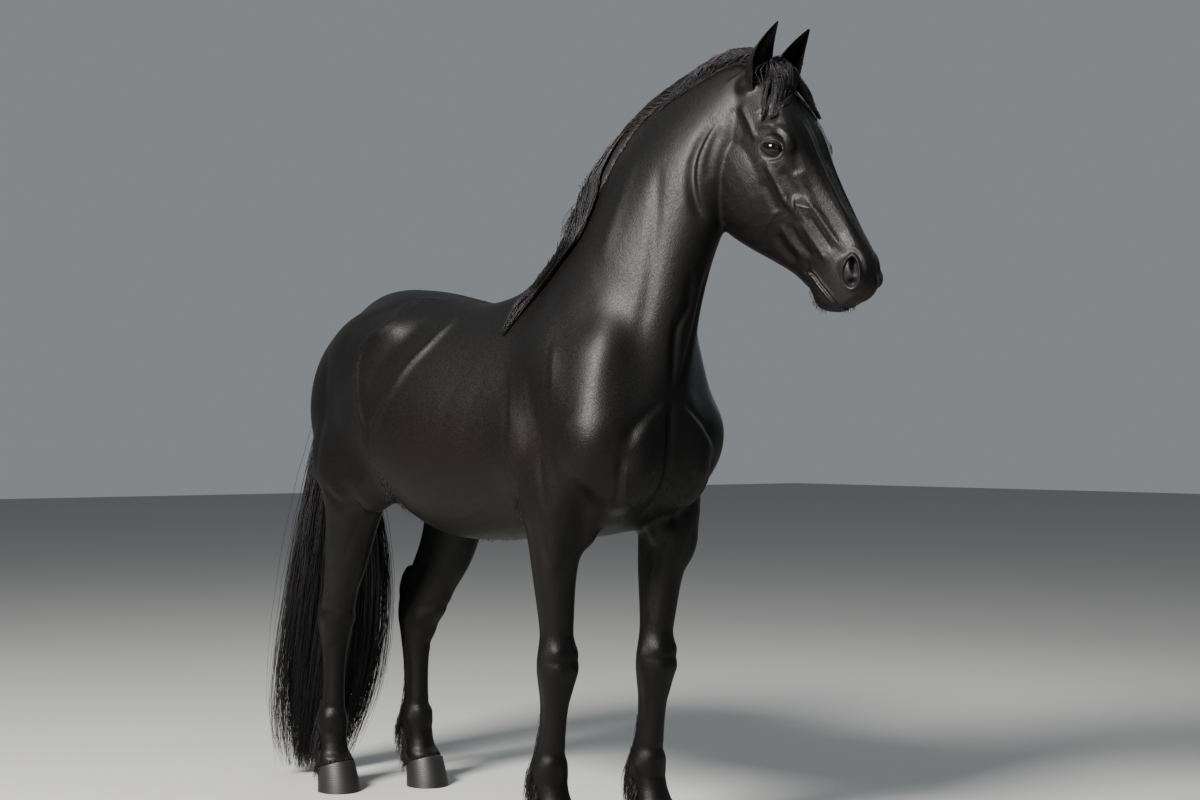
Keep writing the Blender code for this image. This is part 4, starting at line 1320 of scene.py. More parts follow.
def around_face_details(mesh, reach):
    """Which corners lie close to the lids, nostrils and lips."""
    points = places(mesh)
    chosen = np.zeros(len(points), bool)
    for left in (1, -1):
        a, b, c = in_frame(points, eye_frame(left))
        chosen |= (np.hypot(a, b) < 0.034 * reach) & (c > -0.010)
        a, b, c = in_frame(points, nostril_frame(left))
        chosen |= (np.hypot(a, b * 1.3) < 0.054 * reach) & (np.abs(c) < 0.030)
        path = np.array([head_place(p, left) for p in LIP_LINE])
        far, _, _ = nearest_on(points, path)
        chosen |= far < 0.018 * reach
    return chosen


flesh = refined(flesh, around_face_details(flesh, 1.0), 1)
points, normals, tree = skin_of(flesh)
shape_mouth(points, normals, tree)
for left in (1, -1):
    shape_nostril(points, nostril_frame(left))
    shape_eye(points, eye_frame(left))
set_places(flesh, points)


def thinned(mesh, triangles):
    """The same skin in fewer, uneven faces: small where it bends and large where it is flat."""
    count = sum(len(polygon.vertices) - 2 for polygon in mesh.polygons)
    body = new_piece("body", mesh)
    thin = body.modifiers.new("Thin", "DECIMATE")
    thin.ratio = min(1.0, triangles / count)
    thin.use_collapse_triangulate = True
    return settled(body, "skin")


COAT_DEPTH = 0.0012
SKIN_TRIANGLES = 175000
set_places(flesh, places(flesh) - normals_of(flesh) * COAT_DEPTH)
flesh = thinned(flesh, SKIN_TRIANGLES)


# ---------------------------------------------------------------- coat
# Short, sleek black summer coat. Its hairs lie back along the barrel, down the neck and legs and down the
# face. They glint in fine streaks, and are a little brown on the flank and belly, where the sun fades them.


def zone_shares(points):
    """How much each place belongs to the head, to the neck and shoulder, and to the legs, from 0 to 1."""
    local = head_places(points)
    up, ahead = points[:, 2], -(points[:, 1] - CHEST_MIDDLE.y)
    neck_line = ease(ahead * 0.55 + up * 0.84, 1.24, 1.50)
    head = ease(local[:, 0] + 0.35 * local[:, 1], 0.02, 0.12)
    head = head * ease(up, 1.30, 1.42) * ease(ahead, 0.42, 0.50)
    legs = 1 - ease(up, 0.82, 1.02)
    return head, neck_line * (1 - head), legs


class Shading:
    """A material's nodes, with short ways to add and join them."""

    def __init__(self, material):
        self.nodes, self.links = material.node_tree.nodes, material.node_tree.links
        self.shader = self.nodes["Principled BSDF"]
        self.source = self.nodes.new("ShaderNodeTexCoord").outputs["Object"]

    def add(self, kind, values, joined=()):
        """A new node with some inputs set and others joined to sockets."""
        node = self.nodes.new("ShaderNode" + kind)
        for name, value in values.items():
            node.inputs[name].default_value = value
        for name, socket in dict(joined).items():
            self.links.new(socket, node.inputs[name])
        return node

    def noise(self, scale, detail, roughness=0.5, vector=None):
        values = {"Scale": scale, "Detail": detail, "Roughness": roughness}
        return self.add("TexNoise", values, {"Vector": vector or self.source}).outputs["Fac"]

    def bump(self, height, distance, strength, under=None):
        """Roughness of the surface, on top of an earlier one."""
        joined = {"Height": height} if under is None else {"Height": height, "Normal": under}
        return self.add("Bump", {"Distance": distance, "Strength": strength}, joined).outputs["Normal"]

    def blend(self, first, second, share):
        """One value or colour passing into another by a share, each a socket or a constant."""
        mix = self.nodes.new("ShaderNodeMix")
        mix.data_type = "RGBA" if isinstance(first, tuple) or isinstance(second, tuple) else "FLOAT"
        for name, value in (("A", first), ("B", second), ("Factor", share)):
            socket = next(s for s in mix.inputs if s.name == name and s.enabled)
            if hasattr(value, "is_linked"):
                self.links.new(value, socket)
            else:
                socket.default_value = value
        return next(s for s in mix.outputs if s.enabled)

    def share(self, name):
        node = self.nodes.new("ShaderNodeAttribute")
        node.attribute_name = name
        return node.outputs["Fac"]

    def finish(self, **sockets):
        """Joins sockets to the shader's inputs, named with _ for each space."""
        for name, socket in sockets.items():
            self.links.new(socket, self.shader.inputs[name.replace("_", " ")])


def stretched_noise(shading, along, fine, long, detail):
    """Noise drawn out along one direction: fine and long are its counts per metre across and along."""
    turn = Vector(along).normalized().to_track_quat("Z", "Y").inverted().to_euler()
    mapping = shading.add("Mapping", {"Rotation": turn}, {"Vector": shading.source})
    mapping.vector_type = "POINT"
    squash = shading.nodes.new("ShaderNodeVectorMath")
    squash.operation = "MULTIPLY"
    squash.inputs[1].default_value = (fine, fine, long)
    shading.links.new(mapping.outputs["Vector"], squash.inputs[0])
    return shading.noise(1.0, detail, 0.55, squash.outputs["Vector"])


BLACK_HAIR = (0.0006, 0.0005, 0.0005, 1), (0.0022, 0.0019, 0.0017, 1)
FADED_HAIR = (0.0075, 0.0038, 0.0023, 1)
BARE_SKIN = (0.0100, 0.0090, 0.0095, 1)
HAIR_NOISE = (700, 170, 2.0)
LOCK_NOISE = (260, 90, 3.0)


def coat_material():
    material = plain_material("coat", BLACK_HAIR[0], 0.5)
    shading = Shading(material)
    # the way the hair lies on the trunk, neck, legs and head
    lies = (
        ((0, 1, -0.35), None),
        ((0, 0.45, -1), "neck"),
        ((0, 0.05, -1), "legs"),
        (FACE, "head"),
    )
    hairs, locks = None, None
    for direction, zone in lies:
        fine = stretched_noise(shading, direction, *HAIR_NOISE)
        broad = stretched_noise(shading, direction, *LOCK_NOISE)
        share = zone and shading.share(zone)
        hairs = shading.blend(hairs, fine, share) if zone else fine
        locks = shading.blend(locks, broad, share) if zone else broad
    # streaks of hair over slow unevenness of the flesh
    normal = shading.bump(shading.noise(17.0, 4.0), 0.0060, 0.20)
    normal = shading.bump(locks, 0.0015, 0.50, normal)
    normal = shading.bump(hairs, 0.0007, 0.60, normal)
    colour = shading.blend(*BLACK_HAIR, locks)
    colour = shading.blend(colour, FADED_HAIR, shading.share("faded"))
    colour = shading.blend(colour, BARE_SKIN, shading.share("bare"))
    span = {"From Min": 0.3, "From Max": 0.7, "To Min": 0.39, "To Max": 0.54}
    rough = shading.add("MapRange", span, {"Value": locks}).outputs["Result"]
    shading.finish(Normal=normal, Base_Color=colour, Roughness=rough)
    shading.shader.inputs["Specular IOR Level"].default_value = 0.16
    return material


def soft_spots(points, spots):
    """Shares that are full at the middle of each (place, radius) spot and fade out round it."""
    share = np.zeros(len(points))
    for place, radius in spots:
        gap = np.linalg.norm((points - np.array(place)) / np.array(radius), axis=1)
        share = np.maximum(share, np.exp(-gap ** 2))
    return share


flesh.shade_smooth()
points = places(flesh)
head, neck, legs = zone_shares(points)
faded = soft_spots(
    points,
    [(at(0.27 * left, -0.30, 1.10), (0.12, 0.34, 0.17)) for left in (1, -1)]
    + [(at(0.20 * left, -0.62, 1.05), (0.14, 0.10, 0.22)) for left in (1, -1)]
    + [(at(0.22 * left, 0.10, 1.10), (0.10, 0.14, 0.14)) for left in (1, -1)],
)
bare = soft_spots(
    points,
    [(on_head(0.640, 0.080, 0.03 * left), (0.07, 0.07, 0.07)) for left in (1, -1)]
    + [(eye_frame(left)[0], (0.034, 0.034, 0.034)) for left in (1, -1)],
)
for name, share in (("head", head), ("neck", neck), ("legs", legs), ("faded", faded * 0.32), ("bare", bare)):
    layer = flesh.attributes.new(name, "FLOAT", "POINT")
    layer.data.foreach_set("value", share.astype(np.float32))
skin = new_piece("skin", flesh)
flesh.materials.append(coat_material())
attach(skin, "root")
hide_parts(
    "head", "neck", "trunk", "leg_front_left", "leg_front_right", "leg_hind_left", "leg_hind_right",
    "ear_left", "ear_right",
)


# ---------------------------------------------------------------- eyeballs
# A large, wet, nearly black eye, set deep between the lids. Its clear front bulges a little.


def make_eyeball(left, word):
    bm = bmesh.new()
    bmesh.ops.create_uvsphere(bm, u_segments=48, v_segments=32, radius=1.0)
    a, b, c = np.array([vert.co for vert in bm.verts]).T
    bulge = 0.0012 * np.clip(c, 0, 1) ** 6
    placed = out_of_frame(a * EYE_LONG, b * EYE_HIGH, c * EYE_DEEP + bulge, eye_frame(left))
    for vert, place in zip(bm.verts, placed):
        vert.co = place
    mesh = mesh_from(bm, "eyeball")
    mesh.shade_smooth()
    mesh.materials.append(eye_material)
    piece = new_piece("eyeball_" + word, mesh)
    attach(piece, "root")
    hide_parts("eye_" + word)


eye_material = plain_material("eye", (0.0022, 0.0014, 0.0011, 1), 0.08)
eye_material.node_tree.nodes["Principled BSDF"].inputs["Specular IOR Level"].default_value = 0.30
for left, word in ((1, "left"), (-1, "right")):
    make_eyeball(left, word)


# ---------------------------------------------------------------- hooves
# Black horn, ringed by its growth, wider and longer at the ground than at the coronet. The toe slopes
# forward, and a shallow cleft parts the two bulbs of the heel.


def make_hoof(name, stance):
    side, ahead = foot_place(stance)
    middle = at(side, ahead, 0)
    around = 48
    height = HOOF[-1][0]
    rings = []
    for up, shift, wide, long in spline(HOOF, 9):
        ring = []
        for k in range(around):
            angle = math.tau * k / around
            behind = max(0.0, -math.sin(angle))
            across = wide * math.cos(angle) * (1 - 0.10 * behind ** 3)
            along = long * math.sin(angle) * (1 - 0.12 * behind)
            cleft = 0.010 * math.exp(-((math.cos(angle) / 0.20) ** 2)) * behind
            p = at(side + across, ahead + shift + along + cleft, up)
            local_ahead = -(p.y - CHEST_MIDDLE.y) - ahead
            p.z *= (CORONET_UP + CORONET_SLOPE * local_ahead) / height
            ring.append(p)
        rings.append(ring)
    # rounded upper edge, tucked in under the hair of the coronet
    inner = [middle + (p - middle) * 0.93 for p in rings[-1]]
    for low, p in zip(inner, rings[-1]):
        low.z = p.z + 0.0006
    bm = bmesh.new()
    loft(bm, rings + [inner])
    mesh = mesh_from(bm, name)
    for face in mesh.polygons:
        face.use_smooth = len(face.vertices) == 4
    mesh.materials.append(hoof_horn)
    piece = new_piece("horn_" + name, mesh)
    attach(piece, "root")
    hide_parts("hoof_" + name)


def horn_material():
    """Dark horn with the rings of its growth round it."""
    material = plain_material("hoof_horn", (0.0042, 0.0037, 0.0034, 1), 0.50)
    shading = Shading(material)
    values = {"Scale": 60.0, "Distortion": 5.0, "Detail": 3.0}
    rings = shading.add("TexWave", values, {"Vector": shading.source})
    rings.bands_direction = "Z"
    shading.finish(Normal=shading.bump(rings.outputs["Fac"], 0.0006, 0.3))
    return material


hoof_horn = horn_material()
for name, stance in STANCES.items():
    make_hoof(name, stance)


# ---------------------------------------------------------------- how long hair is made
# Every strand is a thin three-sided rod that tapers to its tip. Strands are grouped in locks: the strands of
# a lock start side by side, wave together and draw close towards the end.

chance = np.random.default_rng(41)
COAT_PATCH = 0.003


def tile_unwrap(points, start, end, tile):
    """Unrolls places round the line from start to end into one tile (u0, v0, u1, v1) of the square."""
    start, end = np.array(start), np.array(end)
    run = (end - start) / np.linalg.norm(end - start)
    side = np.cross(run, [0.0, 0.0, 1.0] if abs(run[2]) < 0.9 else [1.0, 0.0, 0.0])
    side /= np.linalg.norm(side)
    up = np.cross(side, run)
    offset = points - start
    turn = np.arctan2(offset @ side, offset @ up) / math.tau + 0.5
    along = np.clip(offset @ run / np.linalg.norm(end - start), 0, 1)
    u0, v0, u1, v1 = tile
    return np.stack([u0 + (u1 - u0) * turn, v0 + (v1 - v0) * along], axis=1)


def rods(name, curves, radii, root_patch, shade):
    """One mesh of closed tapering rods. curves is strands x places x 3, radii strands x places."""
    sides = 3
    count, steps = curves.shape[:2]
    run = np.gradient(curves, axis=1)
    run /= np.maximum(np.linalg.norm(run, axis=2, keepdims=True), 1e-9)
    spare = np.where(np.abs(run[..., 2:3]) > 0.8, [[[1.0, 0.2, 0.0]]], [[[0.1, 0.2, 1.0]]])
    first = np.cross(run, spare)
    first /= np.maximum(np.linalg.norm(first, axis=2, keepdims=True), 1e-9)
    second = np.cross(run, first)
    turns = math.tau * np.arange(sides) / sides
    ring = first[:, :, None] * np.cos(turns)[:, None] + second[:, :, None] * np.sin(turns)[:, None]
    verts = curves[:, :, None] + ring * radii[:, :, None, None]
    a = np.arange(steps - 1)[:, None] * sides + np.arange(sides)[None]
    b = np.arange(steps - 1)[:, None] * sides + (np.arange(sides)[None] + 1) % sides
    quads = np.stack([a, b, b + sides, a + sides], axis=-1).reshape(-1, 4)
    ends = np.array([np.arange(sides)[::-1], np.arange(sides) + (steps - 1) * sides])
    base = np.arange(count)[:, None, None] * steps * sides
    corners = np.concatenate(
        [(quads[None] + base).reshape(count, -1), (ends[None] + base).reshape(count, -1)], axis=1
    )
    sizes = np.tile(np.concatenate([np.full(len(quads), 4), np.full(2, sides)]), count)
    mesh = bpy.data.meshes.new(name)
    mesh.vertices.add(count * steps * sides)
    mesh.vertices.foreach_set("co", verts.astype(np.float32).ravel())
    mesh.loops.add(corners.size)
    mesh.loops.foreach_set("vertex_index", corners.astype(np.int32).ravel())
    mesh.polygons.add(len(sizes))
    mesh.polygons.foreach_set("loop_start", np.concatenate([[0], np.cumsum(sizes)[:-1]]).astype(np.int32))
    mesh.polygons.foreach_set("use_smooth", np.ones(len(sizes), bool))
    patch = mesh.uv_layers.new(name="OFBake")
    strand = corners.ravel() // (steps * sides)
    place = corners.ravel() % (steps * sides)
    inside = np.stack([(place % sides) / sides, (place // sides) / steps], axis=1) * COAT_PATCH
    patch.data.foreach_set("uv", (root_patch[strand] + inside).astype(np.float32).ravel())
    tone = mesh.attributes.new("shade", "FLOAT", "POINT")
    tone.data.foreach_set("value", np.repeat(shade, steps * sides).astype(np.float32))
    mesh.update(calc_edges=True)
    mesh.validate()
    return mesh


def drawn_rows(rows, shares):
    """Values of a table of rows at shares of its length, smoothly."""
    fine = np.array(spline(rows, 12))
    return np.stack([np.interp(shares, np.linspace(0, 1, len(fine)), column) for column in fine.T], axis=-1)


SKIN_SEARCH = 0.12  # strands further from the skin than this are left as they are


def lifted_clear(points, clear):
    """Moves places that lie inside the skin, or too near it, out to the given distance over it."""
    flat = points.reshape(-1, 3)
    clear = np.broadcast_to(clear, points.shape[:-1]).reshape(-1)
    for i, place in enumerate(flat):
        spot, normal, _, _ = skin_tree.find_nearest(Vector(place), SKIN_SEARCH)
        if spot is None:
            continue
        height = (Vector(place) - spot).dot(normal)
        if height < clear[i]:
            flat[i] = np.array(spot + normal * clear[i])
    return flat.reshape(points.shape)


def run_of(curves):
    """Distance from the root along every strand."""
    gaps = np.linalg.norm(np.diff(curves, axis=1), axis=2)
    return np.concatenate([np.zeros((len(gaps), 1)), np.cumsum(gaps, axis=1)], axis=1)


def lock_waves(locks, lock_of, run, size, wave_length, loose):
    """Sideways waves in two directions, shared by a lock, with a little of each strand's own."""
    waves = []
    for _ in range(2):
        turn = chance.uniform(0, math.tau, locks)[lock_of] + chance.normal(0, 0.3, len(lock_of))
        pace = chance.uniform(0.75, 1.35, locks)[lock_of] * chance.uniform(0.94, 1.06, len(lock_of))
        pace /= wave_length
        swell = (size * chance.uniform(0.35, 1.3, locks))[lock_of]
        wave = np.sin(turn[:, None] + math.tau * pace[:, None] * run) * swell[:, None]
        turn = chance.uniform(0, math.tau, len(lock_of))
        wave += np.sin(turn[:, None] + math.tau * 1.3 * pace[:, None] * run) * size * loose
        waves.append(wave * np.clip(run / 0.04, 0, 1))
    return waves


def eased(curves, passes):
    """Takes the corners out of strands and leaves their roots where they are."""
    curves = curves.copy()
    for _ in range(passes):
        curves[:, 1:-1] = 0.25 * curves[:, :-2] + 0.5 * curves[:, 1:-1] + 0.25 * curves[:, 2:]
    return curves


skin_points, skin_normals, skin_tree = skin_of(flesh)
TIP_TAPER = 0.80


def tapering(finest, thickest, strands, shares):
    """Radii of strands that thin out towards their tips."""
    return chance.uniform(finest, thickest, strands)[:, None] * (1 - TIP_TAPER * shares ** 2)


def on_ground_plan(curves):
    """Strands given in (side, ahead, up), in the world."""
    return np.stack([curves[..., 0], -curves[..., 1], curves[..., 2]], axis=-1) + np.array(CHEST_MIDDLE)


def strand_frame(spine, flat):
    """Two unit ways across every strand: the one nearest to flat, and the one square to it."""
    step = np.gradient(spine, axis=1)
    step /= np.maximum(np.linalg.norm(step, axis=2, keepdims=True), 1e-9)
    flat = flat - step * np.sum(flat * step, axis=2, keepdims=True)
    flat /= np.linalg.norm(flat, axis=2, keepdims=True)
    return flat, np.cross(step, flat)


def lock_tones(locks, lock_of):
    return chance.random(locks)[lock_of] * 0.7 + chance.random(len(lock_of)) * 0.3


DARK_STRAND = (0.0024, 0.0023, 0.0026, 1)
LIGHT_STRAND = (0.0100, 0.0088, 0.0092, 1)


def hair_material():
    """Strands darker or lighter by lock, with a fine crimp along them."""
    material = plain_material("long_hair", DARK_STRAND, 0.46)
    shading = Shading(material)
    colour = shading.blend(DARK_STRAND, LIGHT_STRAND, shading.share("shade"))
    crimp = shading.bump(shading.noise(190.0, 2.0), 0.003, 0.5)
    shading.finish(Base_Color=colour, Normal=crimp)
    shading.shader.inputs["Specular IOR Level"].default_value = 0.24
    return material


long_hair = hair_material()


def finish_hair(name, mesh, replaced):
    mesh.materials.append(long_hair)
    piece = new_piece(name, mesh)
    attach(piece, "root")
    if replaced:
        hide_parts(replaced)


def grow(name, grown, replaced, strands, locks, pieces):
    """Makes hair in several pieces, so none is too heavy. grown draws the strands of one piece."""
    for number in range(pieces):
        curves, thick, patch, tone = grown(strands // pieces, locks // pieces)
        finish_hair("%s_%d" % (name, number + 1), rods(name, curves, thick, patch, tone), replaced)


# ---------------------------------------------------------------- tail
# A long thick tail of wavy hair. It springs from the dock, a tapering stalk of flesh, hangs close behind the
# hocks and thins out over the ground.

# side, ahead, up, half thick, half broad, in millimetres
TAIL = metres(
    (
        (0, -1090, 1440, 34, 34),
        (0, -1190, 1435, 36, 36),
        (0, -1255, 1360, 42, 48),
        (0, -1285, 1200, 52, 72),
        (2, -1298, 1000, 64, 116),
        (12, -1312, 780, 76, 162),
        (12, -1336, 560, 80, 184),
        (2, -1372, 320, 74, 184),
        (-14, -1400, 140, 56, 148),
        (-24, -1412, 14, 30, 98),
    )
)
DOCK_SHARE = 0.30
TAIL_STEPS = 19
TAIL_OVER_FLOOR = 0.012
TAIL_PATCH = (0.02, 0.02, 0.30, 0.30)


def tail_hair(strands, locks):
    lock_of = chance.integers(0, locks, strands)
    turn, out = chance.uniform(0, math.tau, locks), np.sqrt(chance.uniform(0.02, 1, locks))
    middle = np.stack([np.cos(turn) * out, np.sin(turn) * out], axis=1)[lock_of]
    spread = chance.normal(0, 0.075, (strands, 2))
    stray = chance.random(strands) < 0.12
    spread[stray] *= 2.1
    shares = np.linspace(0, 1, TAIL_STEPS)[None]
    root = chance.beta(1.1, 1.3, strands) * DOCK_SHARE
    root = root * (0.35 + 0.65 * np.hypot(*middle.T))
    end = np.clip(chance.normal(0.92, 0.10, locks)[lock_of] + chance.normal(0, 0.035, strands), 0.50, 1.0)
    end -= 0.22 * np.clip(np.hypot(*middle.T) - 0.50, 0, 1) * chance.random(locks)[lock_of]
    way_down = root[:, None] + (end - root)[:, None] * shares
    rows = drawn_rows(TAIL, way_down)
    spine = rows[..., :3]
    open_out = 0.30 + 0.70 * np.clip(shares * 3.2, 0, 1)
    close_in = 1 - 0.35 * shares ** 2
    # locks cross over one another on their way down
    drift = chance.normal(0, 0.20, (locks, 2))[lock_of][:, None] * shares[..., None] ** 1.5
    across = (middle[:, None, 0] * 0.94 + drift[..., 0] + spread[:, None, 0] * close_in) * open_out
    deep = (middle[:, None, 1] * 0.94 + drift[..., 1] + spread[:, None, 1] * close_in) * open_out
    wave_across, wave_deep = lock_waves(locks, lock_of, run_of(spine), 0.0120, 0.205, 0.34)
    curves = np.stack(
        [
            spine[..., 0] + rows[..., 4] * across + wave_across,
            spine[..., 1] + rows[..., 3] * deep + wave_deep,
            np.maximum(spine[..., 2], TAIL_OVER_FLOOR),
        ],
        axis=-1,
    )
    curves = eased(on_ground_plan(curves), 1)
    thick = tapering(0.0008, 0.0014, strands, shares)
    patch = tile_unwrap(curves[:, 0], at(0, -1.05, 1.45), at(0, -1.29, 1.10), TAIL_PATCH)
    return curves, thick, patch, lock_tones(locks, lock_of)


grow("tail_hair", tail_hair, "tail", 4800, 320, 4)


# ---------------------------------------------------------------- mane
# The mane stands along the crest of the neck. Behind the ears it is tousled, then short and combed over to
# the left. From there a long wavy sheaf comes over to the right and hangs to a point over the withers.

# From the forelock's root back along the crest to the withers: side, ahead, up, half thick and half broad in
# millimetres, and lean in degrees
MANE = metres(
    (
        (205, 600, 2138, 10, 14, 10),
        (198, 550, 2146, 24, 26, 10),
        (182, 462, 2142, 36, 48, 20),
        (150, 328, 2092, 36, 55, 30),
        (112, 196, 2012, 38, 58, 50),
        (70, 98, 1884, 37, 74, 75),
        (32, 36, 1738, 34, 80, 80),
        (-10, -48, 1632, 30, 72, 70),
        (-46, -140, 1576, 14, 45, 60),
        (-60, -190, 1550, 6, 18, 60),
    ),
    5,
)
MANE = [row[:5] + (math.radians(row[5]),) for row in MANE]
MANE_STEPS = 15
MANE_PATCH = (0.35, 0.02, 0.65, 0.60)


def crest_strands(curves, shares, locks, lock_of):
    """Strands of the mane with their thickness, place on the OFBake map and tone."""
    thick = tapering(0.0008, 0.0013, len(curves), shares)
    patch = tile_unwrap(curves[:, 0], at(0.20, 0.60, 2.0), at(0, 0, 1.45), MANE_PATCH)
    return curves, thick, patch, lock_tones(locks, lock_of)


def mane_hair(strands, locks):
    """Hair rooted on the right of the crest and combed back over it to the left."""
    lock_of = chance.integers(0, locks, strands)
    start = chance.uniform(0.02, 0.60, locks)
    tousled = np.clip((0.30 - start) / 0.12, 0, 1)[lock_of][:, None]
    shares = np.linspace(0, 1, MANE_STEPS)[None]
    root = np.clip(start[lock_of] + chance.normal(0, 0.012, strands), 0.01, 0.70)
    reach = chance.uniform(0.07, 0.15, locks)[lock_of] + 0.05 * tousled[:, 0]
    reach = reach * chance.uniform(0.9, 1.1, strands)
    rows = drawn_rows(MANE, root[:, None] + reach[:, None] * shares)
    spine, lean = rows[..., :3], rows[..., 5]
    flat, out = strand_frame(spine, np.stack([np.cos(lean), np.zeros_like(lean), np.sin(lean)], axis=-1))
    out *= np.where(out[..., 2:3] < 0, -1.0, 1.0)
    # over the crest from right to left, each lock at its own height
    first = chance.uniform(-115, -20, locks)[lock_of] + chance.normal(0, 5, strands)
    last = chance.uniform(35, 105, locks)[lock_of] + chance.normal(0, 7, strands)
    # behind the ears some of it falls to the right instead
    falls = (chance.random(locks) < 0.55) & (start < 0.27)
    falls = falls[lock_of]
    first = np.where(falls, chance.uniform(-40, 50, locks)[lock_of] + chance.normal(0, 9, strands), first)
    last = np.where(falls, chance.uniform(-175, -95, locks)[lock_of] + chance.normal(0, 9, strands), last)
    turn = np.radians(first[:, None] + (last - first)[:, None] * shares ** 0.8)
    height = np.sqrt(chance.uniform(0.30, 1.0, locks))[lock_of][:, None]
    height = height + chance.normal(0, 0.04, (strands, 1))
    height = height * (0.55 + 0.45 * np.clip(shares * 4, 0, 1))
    stray = (chance.random(strands) < 0.05)[:, None]
    bulge = 0.04 * tousled * np.sin(np.pi * shares)
    height = height * (1 + stray * shares * chance.uniform(0.1, 0.4, (strands, 1)) + bulge)
    wave_broad, wave_thick = lock_waves(locks, lock_of, run_of(spine), 1.0, 0.105, 0.30)
    swell = 0.0020 + 0.0080 * tousled
    width = np.clip(rows[..., 4], 0.012, 1) * 0.94
    curve = spine + flat * (np.sin(turn) * height * width + wave_broad * swell)[..., None]
    curve += out * (np.cos(turn) * height * rows[..., 3] * 0.94 + wave_thick * swell)[..., None]
    clear = 0.0012 + 0.004 * chance.random((strands, 1)) * shares
    curves = eased(lifted_clear(on_ground_plan(curve), clear), 2)
    return crest_strands(curves, shares, locks, lock_of)


grow("mane_hair", mane_hair, "mane", 3000, 300, 2)

# The sheaf: side, ahead, up, half width, in millimetres
SHEAF = (
    (100, 170, 2012, 10),
    (78, 128, 1965, 20),
    (40, 71, 1870, 32),
    (18, 69, 1821, 36),
    (-15, 75, 1753, 38),
    (-48, 70, 1680, 37),
    (-54, -3, 1610, 36),
    (-68, -80, 1548, 30),
    (-115, -112, 1490, 17),
    (-158, -129, 1420, 5),
)
SHEAF_STEPS = 18
SHEAF_FACES = (0.794, 0.608, 0.0)  # the way along which its locks lie side by side


def sheaf_hair(strands, locks):
    """Long locks that leave the crest one after another and hang side by side down the right of the neck."""
    lock_of = chance.integers(0, locks, strands)
    start = np.sort(chance.beta(1.0, 1.25, locks)) * 0.72
    goal = np.clip(chance.uniform(-0.95, 1.0, locks), -1, 1)
    # the first locks hang furthest down the neck, so they lie on its inner side
    goal = 0.62 * goal + 0.42 * np.interp(start, [0, 0.72], [0.9, -0.9])
    shares = np.linspace(0, 1, SHEAF_STEPS)[None]
    root = np.clip(start[lock_of] + chance.normal(0, 0.012, strands), 0, 0.80)
    ends = np.clip(start + chance.uniform(0.30, 0.66, locks), 0.46, 0.97)
    end = ends[lock_of] + chance.normal(0, 0.035, strands) - 0.10 * chance.random(strands) ** 2
    end = np.clip(end, 0, 1.0)
    rows = drawn_rows(metres(SHEAF), root[:, None] + (end - root)[:, None] * shares)
    spine, width = rows[..., :3], rows[..., 3]
    flat, out = strand_frame(spine, np.array(SHEAF_FACES))
    out *= np.where(out[..., 0:1] > 0, -1.0, 1.0)
    leave = np.clip(shares * 2.4, 0, 1) ** 0.8
    own = chance.normal(0, 0.11, strands) * np.where(chance.random(strands) < 0.08, 2.4, 1.0)
    across = -0.80 * (1 - leave) + (0.22 + 1.22 * goal[lock_of][:, None]) * leave
    across = across + own[:, None] * (1 - 0.4 * shares ** 2)
    layer = (0.004 + 0.016 * chance.random(locks)[lock_of] + chance.normal(0, 0.002, strands))[:, None]
    layer = layer * (0.35 + 0.65 * np.sin(np.pi * np.clip(shares, 0, 0.85)))
    wave_across, wave_out = lock_waves(locks, lock_of, run_of(spine), 0.0042, 0.120, 0.32)
    curve = spine + flat * (across * width + wave_across)[..., None]
    curve = curve + out * (layer + wave_out * 0.6)[..., None]
    # the roots are sunk in the crest
    clear = np.where(shares < 0.5 / SHEAF_STEPS, -0.012, 0.0015 + layer * 0.6)
    curves = eased(lifted_clear(on_ground_plan(curve), clear), 2)
    curves[:, 0] -= np.array([0.0, 0.0, 0.012])
    return crest_strands(curves, shares, locks, lock_of)


grow("sheaf_hair", sheaf_hair, "mane", 3000, 180, 2)


# ---------------------------------------------------------------- forelock
# The tuft between the ears parts in two: the thicker lock falls over the right temple to above the eye, a
# thinner one down the far side of the forehead.

# Rows on the head of down, deep, left, half thick, half broad, in millimetres: the thick lock, the thin one,
# and one that lies on the temple in front of the near ear
FORELOCK = (
    (
        (0, -22, -2, 10, 14),
        (30, -24, -8, 14, 20),
        (85, -14, -36, 13, 26),
        (130, 12, -68, 10, 22),
        (165, 38, -86, 5, 12),
    ),
    (
        (0, -22, 2, 10, 14),
        (40, -24, 6, 14, 18),
        (110, -18, 40, 10, 17),
        (170, -8, 62, 4, 9),
    ),
    (
        (0, -20, -4, 8, 14),
        (26, -12, -30, 10, 18),
        (70, 8, -60, 10, 20),
        (110, 36, -82, 8, 16),
        (150, 60, -92, 4, 8),
    ),
)
FORELOCK_STRANDS = (1100, 560, 620)
FORELOCK_STEPS = 12
FORELOCK_PATCH = (0.70, 0.02, 0.95, 0.30)


